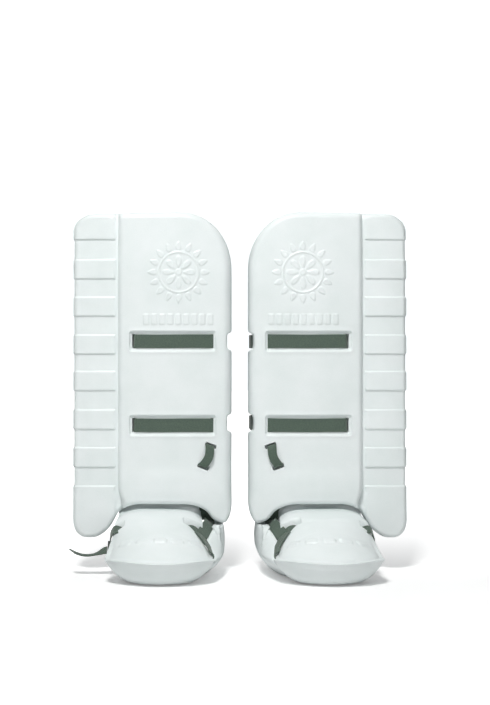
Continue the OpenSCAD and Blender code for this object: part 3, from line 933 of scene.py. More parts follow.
def inflate(name, points, faces, pins):
    """presses the pad outwards as cloth between its pinned lines"""
    mesh = bpy.data.meshes.new("sim_" + name)
    mesh.from_pydata((points * MM).tolist(), [], faces)
    mesh.update()
    pad = bpy.data.objects.new("sim_" + name, mesh)
    scene = bpy.context.scene
    scene.collection.objects.link(pad)
    pad.vertex_groups.new(name="pin").add([int(i) for i in np.nonzero(pins)[0]], 1.0, "REPLACE")
    cloth = pad.modifiers.new("cloth", "CLOTH")
    for key, value in CLOTH.items():
        setattr(cloth.settings, key, value)
    cloth.settings.effector_weights.gravity = 0.0
    cloth.collision_settings.use_collision = False
    cloth.point_cache.frame_start, cloth.point_cache.frame_end = 1, CLOTH_FRAMES
    for frame in range(1, CLOTH_FRAMES + 1):
        scene.frame_set(frame)
    result = pad.evaluated_get(bpy.context.evaluated_depsgraph_get())
    places = np.empty(len(points) * 3)
    result.data.vertices.foreach_get("co", places)
    move = places.reshape(-1, 3) / MM - points
    length = np.linalg.norm(move, axis=1)
    if np.isfinite(length).all():
        points = points + move * (np.minimum(length, CLOTH_REACH) / (length + 1e-9))[:, None]
    scene.frame_set(1)
    bpy.data.objects.remove(pad)
    return points


def sheet_faces(rows, cols):
    """two grids of points, inner then outer, closed into a slab"""
    count = rows * cols
    faces = []
    for i in range(rows - 1):
        for j in range(cols - 1):
            a = i * cols + j
            b = a + count
            faces += [(a, a + 1, a + cols + 1, a + cols), (b, b + cols, b + cols + 1, b + 1)]
    for i in range(rows - 1):
        a = i * cols
        b = a + count
        faces.append((a, a + cols, b + cols, b))
        a, b = a + cols - 1, b + cols - 1
        faces.append((a, b, b + cols, a + cols))
    for j in range(cols - 1):
        faces.append((j, j + count, j + 1 + count, j + 1))
        a = (rows - 1) * cols + j
        b = a + count
        faces.append((a, a + 1, b + 1, b))
    return faces


def cushion(name, z0, z1, cells):
    """quilted C-shaped pad lying in the leg channel"""
    step = 3.4
    start, sweep = CUSHION_START, CUSHION_SWEEP
    cols = int(math.radians(sweep) * 54 / step)
    rows = int((z1 - z0) / step)
    angles = np.linspace(math.radians(start), math.radians(start + sweep), cols)
    angle, z = np.meshgrid(angles, np.linspace(z0, z1, rows))
    # quilting lines: two upright and several bowed ones across
    seam = np.full(angle.shape, 99.0)
    for share in (0.28, 0.72):
        seam = np.minimum(seam, np.abs(angle - math.radians(start + sweep * share)) * 50)
    bow = 14 * np.cos((angle - math.radians(270)) * 1.1)
    for k in range(1, cells):
        seam = np.minimum(seam, np.abs(z - (z0 + (z1 - z0) * k / cells) + bow - 7))
    edge = np.minimum(np.minimum(z - z0, z1 - z),
                      np.minimum(angle - angles[0], angles[-1] - angle) * 52)
    stitched = bell(seam, 2.0)

    def wall(radius):
        return np.column_stack([(LEG_X + radius * np.cos(angle)).ravel(),
                                (LEG_Y + radius * np.sin(angle)).ravel(), z.ravel()])
    points = np.vstack([wall(53.0 + 3.4 * stitched + 4.5 * bell(edge, 2.5)),
                        wall(59.6 - 0.6 * bell(edge, 3.0))])
    faces = outward(points, sheet_faces(rows, cols))
    count = rows * cols

    def push_to_leg(amount):
        points[:count, 0] -= (amount * np.cos(angle)).ravel()
        points[:count, 1] -= (amount * np.sin(angle)).ravel()
    held = (stitched.ravel() > 0.35) | (edge.ravel() < step * 0.9)
    points = inflate(name, points, faces, np.concatenate([held, np.ones(count, bool)]))
    # fabric ripples along the seams
    push_to_leg(0.35 * np.sin(z * 1.1 + angle * 21) * bell(seam, 5.5))
    # never outside the leg channel's wall
    axis = np.array([LEG_X, LEG_Y])
    reach = points[:, :2] - axis
    radius = np.linalg.norm(reach, axis=1)
    points[:, :2] = axis + reach * (np.minimum(radius, 59.75) / radius)[:, None]
    return points, faces


# ------------------------------------------------------------------ calf wings
def wing_profile(x, bow):
    """flap behind a neck that ends in a bead; bow is the way the flap bulges along x"""
    body = round_loop([
        (x - 2, 51.0, 0.8, 0.8), (x - 6, 52.5, 3, 5), (x - 6 - bow, 80, 12, 12),
        (x - 5 + bow, 112, 10, 4), (x + 5 + bow, 112, 4, 10), (x + 6 - bow, 80, 12, 12),
        (x + 6, 52.5, 5, 3), (x + 2, 51.0, 0.8, 0.8)][::-1])
    # open the loop at the neck and add the bead
    first = np.argmin(np.abs(body[:, 0] - x) + np.abs(body[:, 1] - 51) * 3)
    body = np.roll(body, -first, axis=0)
    body = body[(np.abs(body[:, 0] - x) > 1.2) | (body[:, 1] > 60)]
    if signed_area(body) < 0:
        body = body[::-1]
    first = np.argmin(np.abs(body[:, 1] - 51) + (body[:, 0] < x) * 99)
    body = np.roll(body, -first, axis=0)
    turn_round = np.linspace(math.radians(105), math.radians(435), 34)
    return np.vstack([body, np.array(arc(x, BEAD_Y, 7.5, turn_round))])


def calf_wing(x, bow):
    points, faces = sweep_up(wing_profile(x, bow), 210.5, 449.5, 2.0, step=7, cap_step=5.0)
    y, z = points[:, 1], points[:, 2]
    for level in np.arange(245, 440, 34):      # flutes across the flap
        flute = bell(z - level, 3.2) * rise(y, 58, 8.0) * rise(y, 108, -8.0)
        points[:, 0] -= np.sign(points[:, 0] - x) * 1.4 * flute
    return points, faces


# ------------------------------------------------------------------ kicker shell
HEEL_RIM = [(-72, 107), (-50, 111), (-30, 116), (-16, 120), (-4, 127), (8, 131), (60, 131)]
# lines along the foot, stations (y, value): half widths from the middle, and heights
FOOT = {
    "outer_half": smooth_line([
        (-165, 109.0), (-150, 105.5), (-140, 103), (-125, 99), (-110, 93.5), (-98, 89.5),
        (-84, 91.5), (-72, 90), (-38, 85), (60, 84.5)], 5),
    "inner_half": smooth_line([
        (-165, 108.0), (-152, 102.5), (-140, 96), (-130, 90), (-120, 83), (-110, 76),
        (-103, 73), (-96, 78), (-88, 84), (-80, 86.5), (-60, 86), (-38, 84.5), (60, 84.5)], 4),
    "outer_rim": smooth_line([
        (-236, 45), (-222, 46.5), (-200, 47.5), (-178, 45.5), (-165, 44), (-152, 50),
        (-140, 58.5), (-120, 75), (-105, 89), (-92, 99)] + HEEL_RIM, 5),
    "inner_rim": smooth_line([
        (-236, 45), (-222, 46.5), (-200, 47.5), (-178, 45), (-165, 43.5), (-152, 49),
        (-140, 57), (-120, 74), (-105, 88), (-92, 98)] + HEEL_RIM, 5),
    "crest": smooth_line([
        (-237, 46), (-222, 56), (-200, 68), (-175, 82), (-140, 101), (-105, 117), (-72, 126.5),
        (-50, 130), (-30, 132.5), (-16, 135), (-6, 140), (2, 146), (12, 149), (60, 149)], 4),
    "sole_half": smooth_line([
        (-222, 30), (-200, 47), (-175, 52), (-150, 57), (-120, 69), (-95, 80), (-70, 81),
        (60, 81)], 8),
}
TOE_Y = -165.0          # in front of this the toe is swung round
TOE_LENGTH = 71.0
TOP_COUNT, SIDE_COUNT = ((141, 22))
STRAP_TILT, TILT_Y, TILT_Z = math.radians(26), -105, 96     # plane of the instep strap
STRAP_WIDTH_WAY = (0, math.cos(STRAP_TILT), math.sin(STRAP_TILT))


def foot_line(name, y):
    return np.interp(y, *FOOT[name])


def section(y, inset, top_count, side_count):
    """x and z of a cross-section, from the inner sole over the top to the outer sole"""
    outer, inner, outer_rim, inner_rim, crest, sole = (float(foot_line(n, y)) for n in FOOT)
    outer, inner, sole = max(outer - inset, 4.0), max(inner - inset, 4.0), max(sole - inset, 3.0)
    outer_rim, inner_rim = max(outer_rim - inset, 6.0), max(inner_rim - inset, 6.0)
    crest = max(crest - inset, max(outer_rim, inner_rim) + 1)
    bottom = 0.0 if inset else 0.6
    down = np.linspace(1, 0, side_count + 1)[:-1]
    upright = float(rise(y, -150, 60.0))    # the walls are bowed at the toe, upright behind it
    fall = (1 - upright) * (1 - (1 - down) ** 1.8) + upright * down
    spread = (1 - upright) * (1 - down ** 1.05) + upright * (1 - down ** 1.9)
    share = np.linspace(-1, 1, top_count)
    across = np.sign(share) * (1 - (1 - np.abs(share)) ** 1.35)
    power = 2.0 + 2.2 * float(np.clip((y + 150) / 80.0, 0, 1))
    top_x = np.where(across < 0, inner, outer) * across
    rim = np.where(across < 0, inner_rim, outer_rim)
    top_z = rim + (crest - rim) * (1 - np.abs(across) ** power)
    x = np.concatenate([-(sole + (inner - sole) * spread), top_x,
                        (sole + (outer - sole) * spread)[::-1]])
    z = np.concatenate([inner_rim + (bottom - inner_rim) * fall, top_z,
                        (outer_rim + (bottom - outer_rim) * fall)[::-1]])
    return x, z


def from_strap_plane(points):
    """points (x, along the tilted plane, off it) to kicker coordinates"""
    x, along, off = np.asarray(points, float).T
    cos, sin = math.cos(STRAP_TILT), math.sin(STRAP_TILT)
    return np.column_stack([x, TILT_Y + along * cos - (off - TILT_Z) * sin,
                            TILT_Z + along * sin + (off - TILT_Z) * cos])


def ornament(x, y):
    """height of a curved row of five raised dashes over the toe"""
    height = np.zeros(x.shape)
    bend, reach, power = 24.0, 80.0, 2.3
    for k in range(-2, 3):
        mid_x = k * 34.0
        off = abs(mid_x) / reach
        mid_y = -172.0 + bend * off ** power
        angle = math.atan(bend * power / reach * off ** 1.3) * (1 if mid_x > 0 else -1)
        along = (x - mid_x) * math.cos(angle) + (y - mid_y) * math.sin(angle)
        across = -(x - mid_x) * math.sin(angle) + (y - mid_y) * math.cos(angle)
        gap = rect_distance(along, across, 0, 0, 12.5, 5.5, 4.5)
        height = np.maximum(height, 2.1 * mask(gap, 3.6))
    return height


def toe_relief(surface, top, rim, below, fade=1):
    """dashes, a rim bead with its groove, a groove down the side and one above the sole"""
    x, y, z = np.moveaxis(surface, 2, 0)
    relief = ornament(x, y) * top
    relief += fade * top * (1.3 * bell(rim, 3.0) - 1.5 * bell(rim - 8.0, 3.6))
    relief -= fade * (1 - top) * 1.1 * bell(below - 5.0, 2.6)
    return relief - 0.8 * bell(z - 7.5, 1.1) * (1 - top)


def grid_normals(surface, centre):
    normals = unit(np.cross(np.gradient(surface, axis=0), np.gradient(surface, axis=1)))
    outwards = np.nanmean(((surface - centre) * normals).sum(2)) >= 0
    return normals if outwards else -normals


def slit(x, y, edge, run, low, high):
    """depth and lip of a strap slit that starts at x = edge and goes on towards the side"""
    lip = (bell(y - high - 2.6, 1.8) + bell(y - low + 2.6, 1.8)) * rise(x, edge + run, run)
    return rise(x, edge, run) * window(y, low, high, 2.4), lip


def kicker_body():
    """outer surface behind the toe and the cavity's surface, as grids of points"""
    ys = np.concatenate([np.arange(TOE_Y, -128, 1.4),
                         np.arange(-128, -78, 1.3),
                         np.arange(-78, 4, 2.6), [4.0]])
    index = np.arange(TOP_COUNT + 2 * SIDE_COUNT)
    from_end = np.minimum(index, index[::-1])
    side = np.where(from_end < SIDE_COUNT, 1 - from_end / (SIDE_COUNT + 4.0), 0.0)
    outer, inner, slit_floor = [], [], []
    for y in ys:
        x, z = section(y, 0, TOP_COUNT, SIDE_COUNT)
        # side walls run on to the heel, the tongue ends at the ankle with a dip in the middle
        heel = float(rise(y, -60, 64.0))
        middle = bell(x, 60.0, 4) * (side == 0)
        rear = y + (heel * 46.0 * side ** 0.5 - heel * 5.0 * middle)
        outer.append(np.column_stack([x, rear, z]))
        x, z = section(y, 14.0, TOP_COUNT, SIDE_COUNT)
        inner.append(np.column_stack([x, rear - 1.0 * heel, z]))
        x, z = section(y, 12.0, TOP_COUNT, SIDE_COUNT)
        slit_floor.append(np.column_stack([x, rear, z]))
    outer, inner, slit_floor = np.array(outer), np.array(inner), np.array(slit_floor)
    # the two strap slits: deep on the inner side, short on the outer side
    x, y, z = np.moveaxis(outer, 2, 0)
    low = interp(-x, [(40, -105), (60, -106), (72, -110), (90, -122)])
    high = interp(-x, [(40, -91), (60, -91.5), (76, -89), (90, -84)])
    inner_slit, inner_lip = slit(x, y, -47, -3.0, low, high)
    outer_slit, outer_lip = slit(x, y, 71, 3.0, -107, -92)
    raised = rise(z, 50, 12.0)
    depth = np.maximum(inner_slit, outer_slit) * raised * 0.98
    surface = outer + (slit_floor - outer) * depth[..., None]
    x, y, z = np.moveaxis(surface, 2, 0)
    top = np.zeros(x.shape)
    top[:, SIDE_COUNT + 1:-(SIDE_COUNT + 1)] = 1.0
    rim = (1 - np.abs(x) / foot_line("outer_half", ys)[:, None]) * 88.0
    relief = toe_relief(surface, top, rim, foot_line("outer_rim", y) - z, rise(y, -122, -30.0))
    relief += 0.7 * (inner_lip + outer_lip) * raised
    # creases across the instep, along the tilted strap plane
    along = (y - TILT_Y) * math.cos(STRAP_TILT) + (z - TILT_Z) * math.sin(STRAP_TILT)
    relief -= 0.9 * bell(along - 2, 8.0) * bell(np.abs(x) - 36, 24.0) * top
    relief -= 0.6 * bell(along - 26, 6.0) * bell(np.abs(x) - 60, 18.0) * top
    surface = surface + grid_normals(surface, np.array([0, -60, 20.0])) * relief[..., None]
    surface[:, 0], surface[:, -1] = outer[:, 0], outer[:, -1]
    return surface, inner


def kicker_toe(seam):
    """the side profile swung round the front, meeting the body's first section (seam)"""
    inner_half, outer_half = foot_line("inner_half", TOE_Y), foot_line("outer_half", TOE_Y)
    crest = foot_line("crest", TOE_Y)
    middle = SIDE_COUNT + TOP_COUNT // 2
    # both profiles run from the bottom over the ridge to the top centre
    x, z = section(TOE_Y, 0, TOP_COUNT, SIDE_COUNT)
    outer_x, outer_z = x[middle:][::-1], z[middle:][::-1]
    inner_x, inner_z = -x[:middle + 1], z[:middle + 1]
    index = np.arange(middle + 1)
    climb = np.clip(index / SIDE_COUNT, 0, 1)
    rows = []
    for angle in np.linspace(-math.pi / 2, math.pi / 2, 151):
        cos, sin = math.cos(angle), math.sin(angle)
        share = 0.5 + 0.5 * sin
        half = inner_half * (1 - share) + outer_half * share
        reach = (inner_x * (1 - share) + outer_x * share) / half
        height = inner_z * (1 - share) + outer_z * share
        ridge = height[SIDE_COUNT]
        lift = 1.6 * cos + 3.0 * math.sin(2 * angle) ** 2
        fall = reach * cos + reach ** 2 * sin ** 2 - cos * (1 - cos) * reach ** 4
        top_z = ridge + lift + (crest - ridge - lift) * (1 - fall)
        new_z = np.where(index < SIDE_COUNT, height + lift * climb ** 2, top_z)
        if abs(cos) < 1e-9:     # the two ends keep the section's own heights
            new_z = height
        spring = 5.0 * cos * np.clip((reach - 0.35) / 0.65, 0, 1) ** 0.7 * (1 - climb)
        rows.append(np.column_stack([half * sin * reach, TOE_Y - TOE_LENGTH * cos * reach,
                                     new_z + spring]))
    surface = np.array(rows)
    normals = grid_normals(surface, np.array([0, -165.0, 35.0]))
    normals[:, -1] = np.array([0, -0.5, 0.86])
    x, y, z = np.moveaxis(surface, 2, 0)
    top = (index >= SIDE_COUNT + 1) * np.ones((len(surface), 1))
    rim = (1 - np.hypot(x / 108.5, (TOE_Y - y) / TOE_LENGTH)) * 88.0
    relief = toe_relief(surface, top, rim, z[:, SIDE_COUNT:SIDE_COUNT + 1] - z)
    surface = surface + normals * relief[..., None]
    surface[-1] = seam[middle:][::-1]
    surface[0] = seam[:middle + 1]
    surface[:, -1] = seam[middle]
    points, faces = loft(surface, closed=False)
    # sole under the toe
    count = len(index)
    faces += [(len(points), k * count, (k + 1) * count) for k in range(len(surface) - 1)]
    return np.vstack([points, (0.0, TOE_Y, surface[0, 0, 2])]), faces


def kicker_shell():
    surface, cavity = kicker_body()
    rows, cols = surface.shape[:2]
    ring = 2 * cols
    points, faces = loft([np.vstack([surface[k], cavity[k][::-1]]) for k in range(rows)])
    faces += strip_cap((rows - 1) * ring, ring, True)
    # front wall of the cavity
    middle = len(points)
    points = np.vstack([points, (0.0, TOE_Y, 30.0)])
    faces += [(middle, ring - 1 - i, ring - 2 - i) for i in range(cols - 1)]
    faces.append((middle, cols, ring - 1))
    points, faces = face_outwards(*merge([(points, faces), kicker_toe(surface[0])]), weld=0.02)
    return points, outward(points, faces)


# ------------------------------------------------------------------ kicker flare and liner
# front edge of the flare: z, x, y
FLARE_FRONT = np.array([
    (2, -40, -170), (10, -56, -171), (20, -76, -175), (27, -90, -173), (37, -102, -167),
    (44, -105.5, -160.5), (57, -100, -130), (64, -97, -113), (72, -95, -99), (82, -101, -84),
    (92, -108, -70), (99, -113, -58)], float)
FLARE_CREASES = ((-118, 0.9), (-97, 1.2), (-80, 0.8))      # y, depth


def end_round(share, span):
    return np.sqrt(np.clip(1 - np.clip(1 - share / span, 0, 1) ** 2, 0.02, 1))


def flare():
    """outer wall on the inner side; the straps run in the slit between it and the instep"""
    levels = np.concatenate([[2.0, 2.4, 3.4], np.linspace(5, 92, 44),
                             92 + 6.6 * np.sin(np.linspace(0.1, 1, 7) * math.pi / 2)])
    front_z, front_x, front_y_ = FLARE_FRONT.T
    rows = []
    for z in levels:
        x0, y0 = np.interp(z, front_z, front_x), np.interp(z, front_z, front_y_)
        tuck = 34.0 * np.clip((46 - z) / 44.0, 0, 1) ** 1.6
        bow = 2.0 * math.sin(math.pi * min(1, max(0, (z - 40) / 60.0)))
        wall_x = -126.5 + tuck - bow
        bend = (min(x0 - 2.0, 0.5 * (x0 + wall_x) - 3.0), y0 + 0.42 * (-66 - y0), 0,
                0.5 * min(abs(y0 + 66), 60) * 0.6)
        path = soft_path([(x0, y0, 0, 0), bend, (wall_x, -66, 0, 22),
                          (wall_x + 2.5, 47, 0, 0)], 2.0)[:, :2]
        lengths = arc_length(path)
        spots = np.linspace(0, 1, 56) ** 1.25 * lengths[-1]
        line = sample(path, lengths, spots)
        y = line[:, 1]
        along = unit(np.gradient(line, axis=0))
        normals = np.column_stack([-along[:, 1], along[:, 0]])
        # half the wall's thickness, rounded off at the edges
        to_edge = min(z - 1.4, 99.2 - z)
        share = spots / lengths[-1]
        half = 4.6 * math.sqrt(max(0.02, 1 - max(0.0, 1 - to_edge / 5.0) ** 2))
        half = half * end_round(share, 0.035) * end_round(1 - share, 0.03)
        crease = sum(depth * bell(y - place, 2.4) for place, depth in FLARE_CREASES)
        crease = crease * rise(z, 30, 20.0)
        pad = 15.0 * rise(y, -8, 16.0) * rise(z, 60, 24.0) * (1 - rise(y, 28, 16.0))
        out = line + normals * (half - crease)[:, None]
        back = line - normals * (half + pad)[:, None]
        height = z + (12.0 * rise(y, -13, 9.0) - 22.0 * rise(y, 8, 38.0)) * rise(z, 60, 36.0)
        rows.append(np.vstack([np.column_stack([out, height]),
                               np.column_stack([back, height])[::-1]]))
    return loft_folded(rows)


def liner():
    """thin padding inside the kicker"""
    rows = []
    for y in np.concatenate([np.arange(-139, -12, 4.0), [-11.0]]):
        outer = np.array(section(y, 26.5, 40, 10))
        inner = np.array(section(y, 33.5, 40, 10))
        middle = (outer + inner) / 2
        full = min(1.0, max(0.2, min(y + 141, -8 - y) / 6.0)) ** 0.5    # thinner at both ends
        outer, inner = (middle + (sheet - middle) * full for sheet in (outer, inner))
        count = outer.shape[1]
        inner[1] += 1.2 * np.sin(np.arange(count) * 0.8) * math.sin(y * 0.35) * 0.6
        outer[1], inner[1] = np.maximum(outer[1], 13.5), np.maximum(inner[1], 13.0)
        place = np.full(count, y)
        rows.append(np.vstack([np.column_stack([outer[0], place, outer[1]]),
                               np.column_stack([inner[0], place, inner[1]])[::-1]]))
    return loft_folded(rows)


# ------------------------------------------------------------------ buckles, for boxes()
# side-release buckle: socket with two plates, side rails and bars, and ridges on a plate
SOCKET = [
    (155, 126.2, 0, 30.5, 2.4, 33, 1.1), (156, 132.9, 0, 29, 1.3, 33, 0.6),
    (165.8, 129.6, -16.4, 12.4, 8.6, 5.0, 2.0), (146.4, 129.6, -16.4, 12.8, 8.6, 5.0, 2.0),
    (165.8, 129.6, 16.4, 12.4, 8.6, 5.0, 2.0), (146.4, 129.6, 16.4, 12.8, 8.6, 5.0, 2.0),
    (141.9, 131.4, 0, 3.8, 12.6, 38, 1.7), (150.6, 131.5, 0, 4.6, 6.4, 30, 1.0),
    (146.5, 137.3, 0, 11.6, 1.4, 34, 0.6),
    (147.0, 134.6, -16.9, 12.5, 6.0, 4.2, 1.2), (147.0, 134.6, 16.9, 12.5, 6.0, 4.2, 1.2),
] + [(147 + k * 4.2, 124.95, 0, 1.6, 1.0, 18, 0.45) for k in range(4)]
# plug: a frame with bars, a middle tongue and two side prongs with turned tips
PLUG = [
    (174.2, 131.2, 0, 3.6, 12.4, 38, 1.6), (192.2, 131.4, 0, 3.6, 12.6, 38, 1.7),
    (183.0, 131.0, 16.9, 20, 11.0, 4.2, 1.6), (183.0, 131.0, -16.9, 20, 11.0, 4.2, 1.6),
    (178.6, 130.3, 0, 4.6, 4.6, 31, 1.4), (188.4, 130.3, 0, 4.0, 4.6, 31, 1.4),
    (166.5, 129.7, 0, 16, 3.8, 5.0, 1.2),
    (166.0, 129.7, -10.6, 16, 3.9, 4.0, 1.4), (157.4, 129.7, -11.2, 6.5, 3.9, 5.4, 1.8, 16),
    (166.0, 129.7, 10.6, 16, 3.9, 4.0, 1.4), (157.4, 129.7, 11.2, 6.5, 3.9, 5.4, 1.8, -16),
]
# strap slider: two upright bars, two rails and a middle bar in front and behind
SLIDER = [
    (103.6, STRAP_Y, 0, 3.2, 7.2, 36, 1.4), (116.4, STRAP_Y, 0, 3.2, 7.2, 36, 1.4),
    (110, STRAP_Y, -16.1, 15.6, 6.4, 3.4, 1.4), (110, STRAP_Y, 16.1, 15.6, 6.4, 3.4, 1.4),
    (110, 132.2, 0, 3.6, 2.2, 31, 1.0), (110, 137.4, 0, 3.6, 2.0, 31, 0.9),
]
# ladder lock at the outer side of the kicker, drawn in the tilted strap plane
LOCK = [
    (101.7, 0, 35.2, 8.0, 35.4, 2.9, 1.3), (101.7, 0, 54.8, 8.0, 35.4, 2.9, 1.3),
    (101.7, -15.9, 45, 7.4, 4.2, 21.5, 1.8), (101.7, 15.9, 45, 7.4, 4.2, 21.5, 1.8),
    (102.8, 0, 45.0, 5.6, 31, 3.2, 1.4), (105.0, 0, 37.4, 1.8, 26, 6.4, 0.8),
]


# ------------------------------------------------------------------ straps of the guard
# route of a calf strap seen from above: x, y, corner cut
CALF_ROUTE = [
    (150, STRAP_Y, 0), (76, STRAP_Y, 20), (27, 96, 30), (25.5, 0, 8), (28, -16, 6),
    (58.8, -50.4, 4), (67, crown(67) + 2.7, 4), (133, crown(133) + 2.5, 40),
    (207, crown(207) + 2.6, 8), (217.0, -51.2, 4.5), (222.0, -8, 6), (241.5, 47, 10),
    (264, 84, 18), (258, 126, 12), (238, STRAP_Y, 7), (180, STRAP_Y, 0)]
CALF_PHASE = {"left": 6, "right": 11}       # of the strap's slight waviness
# the diagonal loop goes in and out through its slots: across, y, up in the loop's frame, cut
LOOP_ROUTE = [
    (3, -14, -22.6, 0), (3, -50, -23.0, 6), (2.4, -60.0, -22.8, 4.5), (-0.5, -63.2, -15.5, 5),
    (-4.5, -64.4, 0, 9), (-0.5, -63.2, 15.5, 5), (2.4, -60.0, 22.8, 4.5), (3, -50, 23.0, 6),
    (3, -14, 22.6, 0)]
# x, y, z, cut
ANKLE_ROUTE = [(70, -13.2, 262, 0), (70, -13.2, 230, 6), (70, -13.2, 160, 6)]
ANKLE_LOWER_ROUTE = [
    (70, -13.2, 168, 0), (70, -13.2, 122, 10), (65.5, -16, 102.5, 7), (62.5, -52, 101.0, 10),
    (81.0, -101, 83, 5), (85.5, -108, 75, 2.5), (82, -103, 70.5, 0)]


def stitches(path, across, thick):
    """short raised thread stitches in seven rows on both faces of a strap"""
    length, radius = 2.6 * 0.66, 0.38
    parts = []
    for point, along in zip(path, unit(np.gradient(path, axis=0))):
        normal = np.cross(along, across)
        rotation = Matrix((Vector(along), Vector(across), Vector(normal))).transposed()
        for row in (-11, -7.3, -3.6, 0, 3.6, 7.3, 11):
            for face in (1, -1):
                centre = point + across * row + normal * face * (thick / 2 * 0.96)
                parts.append(rounded_box(tuple(centre), (length, 2 * radius, 2 * radius),
                                         radius * 0.9, 2, rotation))
    return merge(parts)


def add_calf_strap(side, level, z):
    path = soft_path([(x, y, z, cut) for x, y, cut in CALF_ROUTE], 2.6)
    share = np.linspace(0, 1, len(path))
    path[:, 2] += 0.5 * np.sin(share * 34 + CALF_PHASE[side]) * 0.4
    # the last run is a piece of its own
    split = np.nonzero(path[:, 0] > 234)[0].max()
    add(side, f"{level}_strap_web", ribbon(path[:split + 1], UP, 28.0, 2.4), WEB, "guard",
        f"{level}_strap")
    lead = add(side, f"{level}_strap_lead", ribbon(path[split:], UP, 28.0, 2.4), WEB)
    sign, y = SIGN[side], (STRAP_Y + SHIN_Y) * MM
    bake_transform(lead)
    # bar tacks near the buckle
    x, y = path[:, 0], path[:, 1]
    sewn = path[(y > 134) & (x > 135.5) & (x < 144.5)]
    add(side, f"{level}_strap_tack", stitches(resample(sewn, 3.0), np.array(UP, float), 2.4),
        THREAD, "guard")
    socket, plug, slider = (f"{level}_{part}" for part in
                            ("buckle_socket", "buckle_plug", "slider"))
    add(side, socket + "_body", boxes(SOCKET, z), PLASTIC, "guard", socket)
    add(side, plug + "_body", boxes(PLUG, z), PLASTIC, plug, plug)
    add(side, slider + "_body", boxes(SLIDER, z), PLASTIC, slider, slider)


def add_ankle_strap(side):
    route = []
    for across, y, up, cut in LOOP_ROUTE:
        x, z = out_of_loop(across, up)
        route.append((x, y, z, cut))
    loop_way = (math.cos(LOOP_TILT), 0, math.sin(LOOP_TILT))
    loop = ribbon(soft_path(route, 1.5), loop_way, 18.0, 2.3)
    run = ribbon(soft_path(ANKLE_ROUTE, 4.0), (1, 0, 0), 20.0, 2.2)
    both = merge([loop[:2], run[:2]])
    add(side, "ankle_strap_web", (*both, np.vstack([loop[2], run[2]])), WEB, "guard",
        "ankle_strap")
    # its lower part bends from the guard to the kicker's slit
    path = soft_path(ANKLE_LOWER_ROUTE, 2.0)
    way = turn(rise(np.linspace(0, 1, len(path)), 0.30, 0.25), (1.0, 0, 0), (0.72, -0.05, 0.69))
    lower = add(side, "ankle_strap_lower_web", ribbon(path, way, 27.0, 2.3), WEB, None,
                "ankle_strap_lower")
    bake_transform(lower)


# ------------------------------------------------------------------ straps of the kicker
# x, y, z, cut: from the inner side of the toe up on to the instep
INSTEP_INNER = [
    (-99, -157, 37, 0), (-105.5, -151, 47, 5), (-99.5, -131, 60, 8), (-87, -113, 77, 8),
    (-74, -101, 91, 6), (-62, -98, 98, 5), (-50, -96, 97.5, 5), (-34, -96.5, 99, 6)]
# in the tilted strap plane, x, height and cut: on over the instep, down to the ladder lock
INSTEP_OUTER = [
    (-22, 94.5, 8), (0, 98, 8), (22, 94.5, 8), (44, 87, 8), (62, 80.5, 6), (78, 93, 6),
    (91.5, 97, 6), (99, 82, 6), (101.5, 50, 0)]
# loose end in the strap plane, x, along, height, cut: hangs down on the left, sticks out on
# the right
TAIL_ROUTE = {
    "left": [(107.2, 0, 44, 0), (109.4, 0, 38, 3), (110.4, 0, 22, 6), (110.0, 0, 6, 0)],
    "right": [(107.2, 0, 45.5, 0), (113, 0, 44.5, 4), (127, 0, 37, 10), (147, 0, 30.5, 14),
              (166, 0, 36, 9), (178, 0, 43.0, 0)]}
SOLE_ROUTE = [(-88.5, -47, 7.5, 0), (-86, -47, 4.9, 2), (86, -47, 4.9, 2), (88.5, -47, 7.5, 0)]
HEEL_ROUTE = [(-87.4, 2, 60, 0), (-87.4, 70, 60, 34), (0, 112, 60, 60), (87.4, 70, 60, 34),
              (87.4, 2, 60, 0)]
# radius and distance from the middle of the foot
RIVET = [(0, 91.6), (2.5, 91.5), (5.0, 91.0), (6.9, 90.1), (7.5, 89.2), (7.4, 88.85),
         (3.9, 88.8), (3.9, 70.0), (7.4, 69.9), (7.5, 68.6), (6.2, 67.5), (0, 67.3)]


def instep_strap():
    outer = from_strap_plane([(x, 0, height) for x, height, _ in INSTEP_OUTER])
    cuts = [entry[2] for entry in INSTEP_OUTER]
    path = soft_path(INSTEP_INNER + [(*point, cut) for point, cut in zip(outer, cuts)], 2.4)
    x = path[:, 0]
    inner_way = turn(rise(x, -92, 40.0), (-0.13, 0.98, 0.06), (-0.32, 0.89, 0.32))
    return ribbon(path, turn(rise(x, -60, -14.0), STRAP_WIDTH_WAY, inner_way), 26.0, 2.4)


def strap_tail(side):
    path = from_strap_plane(soft_path(TAIL_ROUTE[side], 2.2))
    way = STRAP_WIDTH_WAY
    if side == "right":
        way = turn(rise(np.linspace(0, 1, len(path)), 0, 0.35), way, (0.05, 0.99, -0.03))
    return ribbon(path, way, 25.0, 2.4, slant=9.0)


